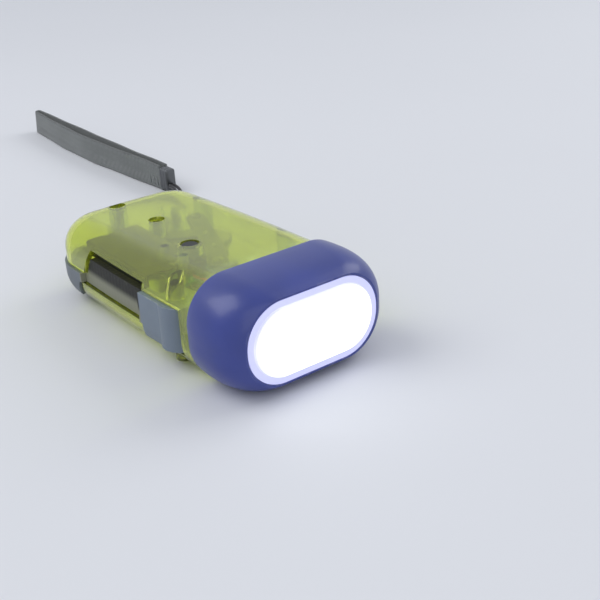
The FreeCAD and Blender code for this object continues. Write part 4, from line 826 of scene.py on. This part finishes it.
class TORCH_OT_lever(bpy.types.Operator):
    """Give the squeeze lever, its lock and the button their plastic"""

    bl_idname = "torch.lever"
    bl_label = "Lever, lock and button"

    def execute(self, context):
        colours = context.scene.torch_colours
        base = tuple(colours.lever)
        dress(self.lever(base, tuple(colours.lever_tail), tuple(colours.grip)), "squeeze_lever")
        dress(moulded("lock_plastic", tuple(colours.lever_tail), rough=0.38, grain=0.4, wear=0.35), "lever_lock")
        dress(self.button(), "power_button")
        dress(moulded("switch_plastic", (0.03, 0.03, 0.032), rough=0.55), "switch_body")
        return {"FINISHED"}

    def lever(self, base, tail, grip):
        """Slate plastic, greyer at the tail, with a ribbed grip along the finger stretch whose top is darkened with
        painted shade.
        """
        made = moulded("lever_plastic", base, rough=0.40, grain=0.4, wear=0.3)
        x, y, z = made.axes(made.place())
        stretch = ((x - FINGER_STRETCH[0]).step(*COLOUR_EDGE) * (FINGER_STRETCH[1] - x).step(*COLOUR_EDGE)
                   * (-SKIN_DEPTH - y).step(*COLOUR_EDGE))
        # painted shade: the top of the finger stretch is darkened where the lever's recess lies in shade
        top = z.step(*FINGER_SHADE)
        dust = made.noise(800.0, 5.0)
        ribs = x.waves(RIB_PITCH)
        plain = Socket(made, made.shader.inputs["Base Color"].links[0].from_socket)
        normal = Socket(made, made.shader.inputs["Normal"].links[0].from_socket)
        plain = made.blend(x.step(*TAIL_TONE_X), made.blend(0.75, plain, tail), plain)
        # the grip's colour, turned to painted shade at its top
        grip_with_painted_shade = made.blend(top, grip, made.tone(grip, 0.05))
        grip_with_painted_shade = made.blend(dust.step(0.5, 0.8) * 0.10, grip_with_painted_shade, made.tone(grip, 1.2))
        made.feed(Base_Color=made.blend(stretch, plain, grip_with_painted_shade), Roughness=0.40 + 0.22 * stretch + 0.08 * dust,
                  Normal=made.bump(ribs * stretch, RIB_HEIGHT, 0.22, under=normal))
        return made

    def button(self):
        """Black rubbery plastic with fine rings about the button's middle."""
        made = Finish("button_plastic", IOR=1.5)
        rings = made.from_axis(middle_of("power_button")).waves(BUTTON_RING_PITCH)
        dust = made.noise(700.0, 4.0)
        made.feed(Base_Color=made.blend(dust, (0.018, 0.019, 0.021), (0.045, 0.047, 0.050)),
                  Roughness=0.45 + 0.2 * dust, Normal=made.bump(rings, RIB_HEIGHT, 0.7))
        return made


# The dark sheets of painted shade over the lever's bay: where they run along X and their (y, z) sections
SHEET_TAIL_X, SHEET_STEP_X, SHEET_HEAD_X = mm(-31.0, -0.6, 5.0)
SHEET_FOOT = mm(-21.3, 17.7)
SHEET_TOP = mm(-21.3, 21.95)
SHEET_INSIDE = mm(-4.9, 21.7)
SHEET_HEAD_INSIDE = mm(-11.6, 21.6)
SHEET_THICKNESS = 0.5 * MM
SHEET_POINTS = 60


class TORCH_OT_shade_sheets(bpy.types.Operator):
    """Make the dark sheets of painted shade: a strip behind the window's top edge and a cover that runs from it over
    the lever's bay
    """

    bl_idname = "torch.lever_guide"
    # The panel button that makes the sheets of painted shade
    bl_label = "Lever guide"

    def execute(self, context):
        # Finish of the sheets of painted shade
        finish = Finish("shade_sheet_paint", IOR=1.5)
        grain = finish.noise(1200.0, 4.0)
        _, y, _ = finish.axes(finish.place())
        # painted shade: the sheets are black next to the window and turn grey further inside
        shade_fades_inward = y.step(SHEET_HEAD_INSIDE[0], SHEET_INSIDE[0])
        plain = finish.blend(grain, (0.010, 0.011, 0.012), (0.022, 0.023, 0.025))
        finish.feed(Base_Color=finish.blend(shade_fades_inward, plain, (0.150, 0.155, 0.140)), Roughness=0.6 + 0.2 * grain,
                    Normal=finish.bump(grain, GRAIN_HEIGHT, 0.5))
        self.leaf("window_shade_sheet", (SHEET_TAIL_X, SHEET_HEAD_X), SHEET_FOOT, SHEET_TOP, finish)
        self.leaf("lever_guide", (SHEET_TAIL_X, SHEET_STEP_X), SHEET_TOP, SHEET_INSIDE, finish)
        self.leaf("bay_shade_sheet_end", (SHEET_STEP_X, SHEET_HEAD_X), SHEET_TOP, SHEET_HEAD_INSIDE, finish)
        return {"FINISHED"}

    def leaf(self, name, ends, first, last, finish):
        """A rounded strip whose section runs from one (y, z) point to another, carried along X between two ends."""
        run = np.linspace(*ends, SHEET_POINTS)
        first, last = np.array(first), np.array(last)
        width = np.linalg.norm(last - first)
        middle = (first + last) / 2
        path = np.stack([run, 0 * run + middle[0], 0 * run + middle[1]], 1)
        across = np.array([0, *(last - first)]) / width
        outward = np.array([0, -across[2], across[1]])
        outline = rounded_outline(width, SHEET_THICKNESS, SHEET_THICKNESS * 0.45, 4)
        points = sweep(path, np.tile(across, (SHEET_POINTS, 1)), np.tile(outward, (SHEET_POINTS, 1)), outline)
        surface(name, points, "casing", finish, wrap=True, ends=True)


class TORCH_OT_gears(bpy.types.Operator):
    """Give the gear train, its axles and its plate their finishes"""

    bl_idname = "torch.gears"
    bl_label = "Gear train"

    def execute(self, context):
        base = tuple(context.scene.torch_colours.gear)
        dress(moulded("gear_plastic", base, rough=0.42, grain=0.2, wear=0.1), "first_gear", "second_gear",
              "flywheel_pinion")
        dress(moulded("plate_plastic", (0.17, 0.18, 0.19), rough=0.5), "gear_plate")
        dress(metal("ground_steel", (0.60, 0.61, 0.63), 0.25), "gear_axles", "flywheel_shaft", "lever_pin",
              "strap_pin", "return_spring", "cell_clips")
        dress(metal("screw_steel", (0.55, 0.56, 0.58), 0.32, stain=0.3), "plate_screws", "case_screws")
        return {"FINISHED"}


WIRE_PITCH = 0.22 * MM
WIRE_HEIGHT = 0.08 * MM


class TORCH_OT_dynamo(bpy.types.Operator):
    """Give the flywheel, magnet, core and coil their metals"""

    bl_idname = "torch.dynamo"
    bl_label = "Dynamo"

    def execute(self, context):
        dress(metal("turned_steel", (0.64, 0.64, 0.65), 0.26, lines=0.3, centre=middle_of("flywheel")), "flywheel")
        dress(metal("core_iron", (0.42, 0.42, 0.43), 0.45, stain=0.4), "stator_core")
        magnet = Finish("sintered_magnet", Metallic=0.4)
        grain = magnet.noise(2200.0, 3.0)
        magnet.feed(Base_Color=magnet.blend(grain, (0.05, 0.05, 0.055), (0.13, 0.13, 0.14)),
                    Roughness=0.55 + 0.2 * grain, Normal=magnet.bump(grain, GRAIN_HEIGHT, 0.5))
        dress(magnet, "ring_magnet")
        coil = Finish("coil_wire", Metallic=0.9, Coat_Weight=0.5, Coat_Roughness=0.15)
        _, _, z = coil.axes(coil.place())
        turns = z.waves(WIRE_PITCH)
        coil.feed(Base_Color=coil.blend(turns, (0.35, 0.12, 0.04), (0.80, 0.38, 0.16)),
                  Roughness=0.3 + 0.1 * coil.noise(900.0), Normal=coil.bump(turns, WIRE_HEIGHT, 0.8))
        dress(coil, "stator_coil")
        return {"FINISHED"}


CELLS = 3
CAP_EDGE = mm(5.6, 5.9)
WRAP_FOLD = mm(1.0, 0.6)
WRAP_EDGE = mm(-0.4, 0.0)
CREASE_HEIGHT = 0.12 * MM
TRACK_HEIGHT = 0.03 * MM
LEAD_SPLIT = 0.1 * MM
PARTS_CORNER = mm(4.0, -5.0)
BOARD_PARTS = [
    ("driver_chip", False, -2.0, -4.0, 3.0, 2.4, 1.1),
    ("diode", False, 1.4, -0.9, 1.0, 2.0, 0.9),
    ("capacitor_a", True, 2.9, -0.9, 1.0, 1.8, 0.8),
    ("capacitor_b", True, 4.3, -0.9, 1.0, 1.8, 0.8),
]


class TORCH_OT_electrics(bpy.types.Operator):
    """Give the boards, the cell and the leads their finishes and add the board's small parts"""

    bl_idname = "torch.electrics"
    bl_label = "Electrics"

    def execute(self, context):
        dress(self.board(), "circuit_board", "lamp_board")
        dress(self.cell(), "rechargeable_cell")
        dress(self.leads(), "leads")
        self.board_parts()
        return {"FINISHED"}

    def board(self):
        """Green solder mask over copper tracks: the tracks are the walls between scattered cells."""
        made = Finish("board_mask", Coat_Weight=0.6, Coat_Roughness=0.12, IOR=1.5)
        walls = made.cells(420.0, "DISTANCE_TO_EDGE")
        track = 1.0 - walls.step(0.06, 0.10)
        pads = 1.0 - made.cells(700.0).step(0.16, 0.20)
        tint = made.blend(track, (0.015, 0.115, 0.040), (0.045, 0.230, 0.085))
        tint = made.blend(pads, tint, (0.62, 0.60, 0.55))
        made.feed(Base_Color=tint, Roughness=0.35 + 0.1 * made.noise(900.0),
                  Normal=made.bump(track + pads, TRACK_HEIGHT, 0.6))
        return made

    def cell(self):
        """Shrink wrap round the cells, bright metal on the caps and faint joints between the cells."""
        made = Finish("cell_wrap", IOR=1.5, Coat_Weight=0.3)
        low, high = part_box("rechargeable_cell")
        _, _, z = made.axes(made.place())
        cap = 1.0 - made.from_axis(middle_of("rechargeable_cell")).step(*CAP_EDGE)
        ends = (z - low.z - WRAP_FOLD[0]).step(*WRAP_EDGE) * (high.z - WRAP_FOLD[1] - z).step(*WRAP_EDGE)
        steel = cap * (1.0 - ends)
        joints = 1.0 - ((z - low.z) * (TURN / 2 * CELLS / (high.z - low.z))).sine().size().step(0.02, 0.10)
        creases = made.noise(500.0, 5.0, 0.7)
        tint = made.blend(creases, (0.02, 0.20, 0.11), (0.04, 0.28, 0.16))
        tint = made.blend(joints * 0.5, tint, (0.01, 0.08, 0.05))
        made.feed(Base_Color=made.blend(steel, tint, (0.62, 0.62, 0.63)), Metallic=steel,
                  Roughness=0.3 + 0.1 * creases, Normal=made.bump(creases - joints, CREASE_HEIGHT, 0.6))
        return made

    def leads(self):
        """One red lead and one black lead."""
        made = Finish("lead_insulation", IOR=1.5)
        middle = middle_of("leads")[1]
        _, y, _ = made.axes(made.place())
        share = y.step(middle - LEAD_SPLIT, middle + LEAD_SPLIT)
        tint = made.blend(share, (0.42, 0.015, 0.012), (0.02, 0.02, 0.022))
        made.feed(Base_Color=tint, Roughness=0.38 + 0.12 * made.noise(900.0))
        return made

    def board_parts(self):
        """Rounded blocks on the switch board: name, whether it is ceramic, x and y from a corner, and size in mm."""
        low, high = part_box("circuit_board")
        resin = moulded("part_resin", (0.02, 0.02, 0.022), rough=0.45)
        ceramic = moulded("part_ceramic", (0.42, 0.30, 0.18), rough=0.5)
        for name, is_ceramic, x, y, *size in BOARD_PARTS:
            centre = (low.x + PARTS_CORNER[0] + x * MM, high.y + PARTS_CORNER[1] + y * MM, high.z + size[2] * MM / 2)
            finish = ceramic if is_ceramic else resin
            block("board_" + name, centre, mm(*size), "casing", finish, power=0.18)


OPERATORS = [
    TORCH_OT_stage,
    TORCH_OT_strap_ferrule,
    TORCH_OT_strap_band,
    TORCH_OT_strap_cord,
    TORCH_OT_casing,
    TORCH_OT_head,
    TORCH_OT_lever,
    TORCH_OT_shade_sheets,
    TORCH_OT_gears,
    TORCH_OT_dynamo,
    TORCH_OT_electrics,
]


class TORCH_PT_panel(bpy.types.Panel):
    """Lists the torch's sizes, colours and pieces"""

    bl_idname = "TORCH_PT_panel"
    bl_label = "Torch"
    bl_space_type = "VIEW_3D"
    bl_region_type = "UI"
    bl_category = "Torch"

    def draw(self, context):
        for group in (context.scene.torch_colours, context.scene.torch_sizes):
            for name in group.__annotations__:
                self.layout.prop(group, name)
        for operator in OPERATORS:
            self.layout.operator(operator.bl_idname)


GROUPS = [TorchColours, TorchSizes]


def register():
    for made in GROUPS + OPERATORS + [TORCH_PT_panel]:
        bpy.utils.register_class(made)
    bpy.types.Scene.torch_colours = PointerProperty(type=TorchColours)
    bpy.types.Scene.torch_sizes = PointerProperty(type=TorchSizes)


def unregister():
    del bpy.types.Scene.torch_colours
    del bpy.types.Scene.torch_sizes
    for made in reversed(GROUPS + OPERATORS + [TORCH_PT_panel]):
        bpy.utils.unregister_class(made)


def main():
    """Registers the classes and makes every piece."""
    register()
    for operator in OPERATORS:
        group, name = operator.bl_idname.split(".")
        getattr(getattr(bpy.ops, group), name)()


if __name__ == "__main__":
    main()
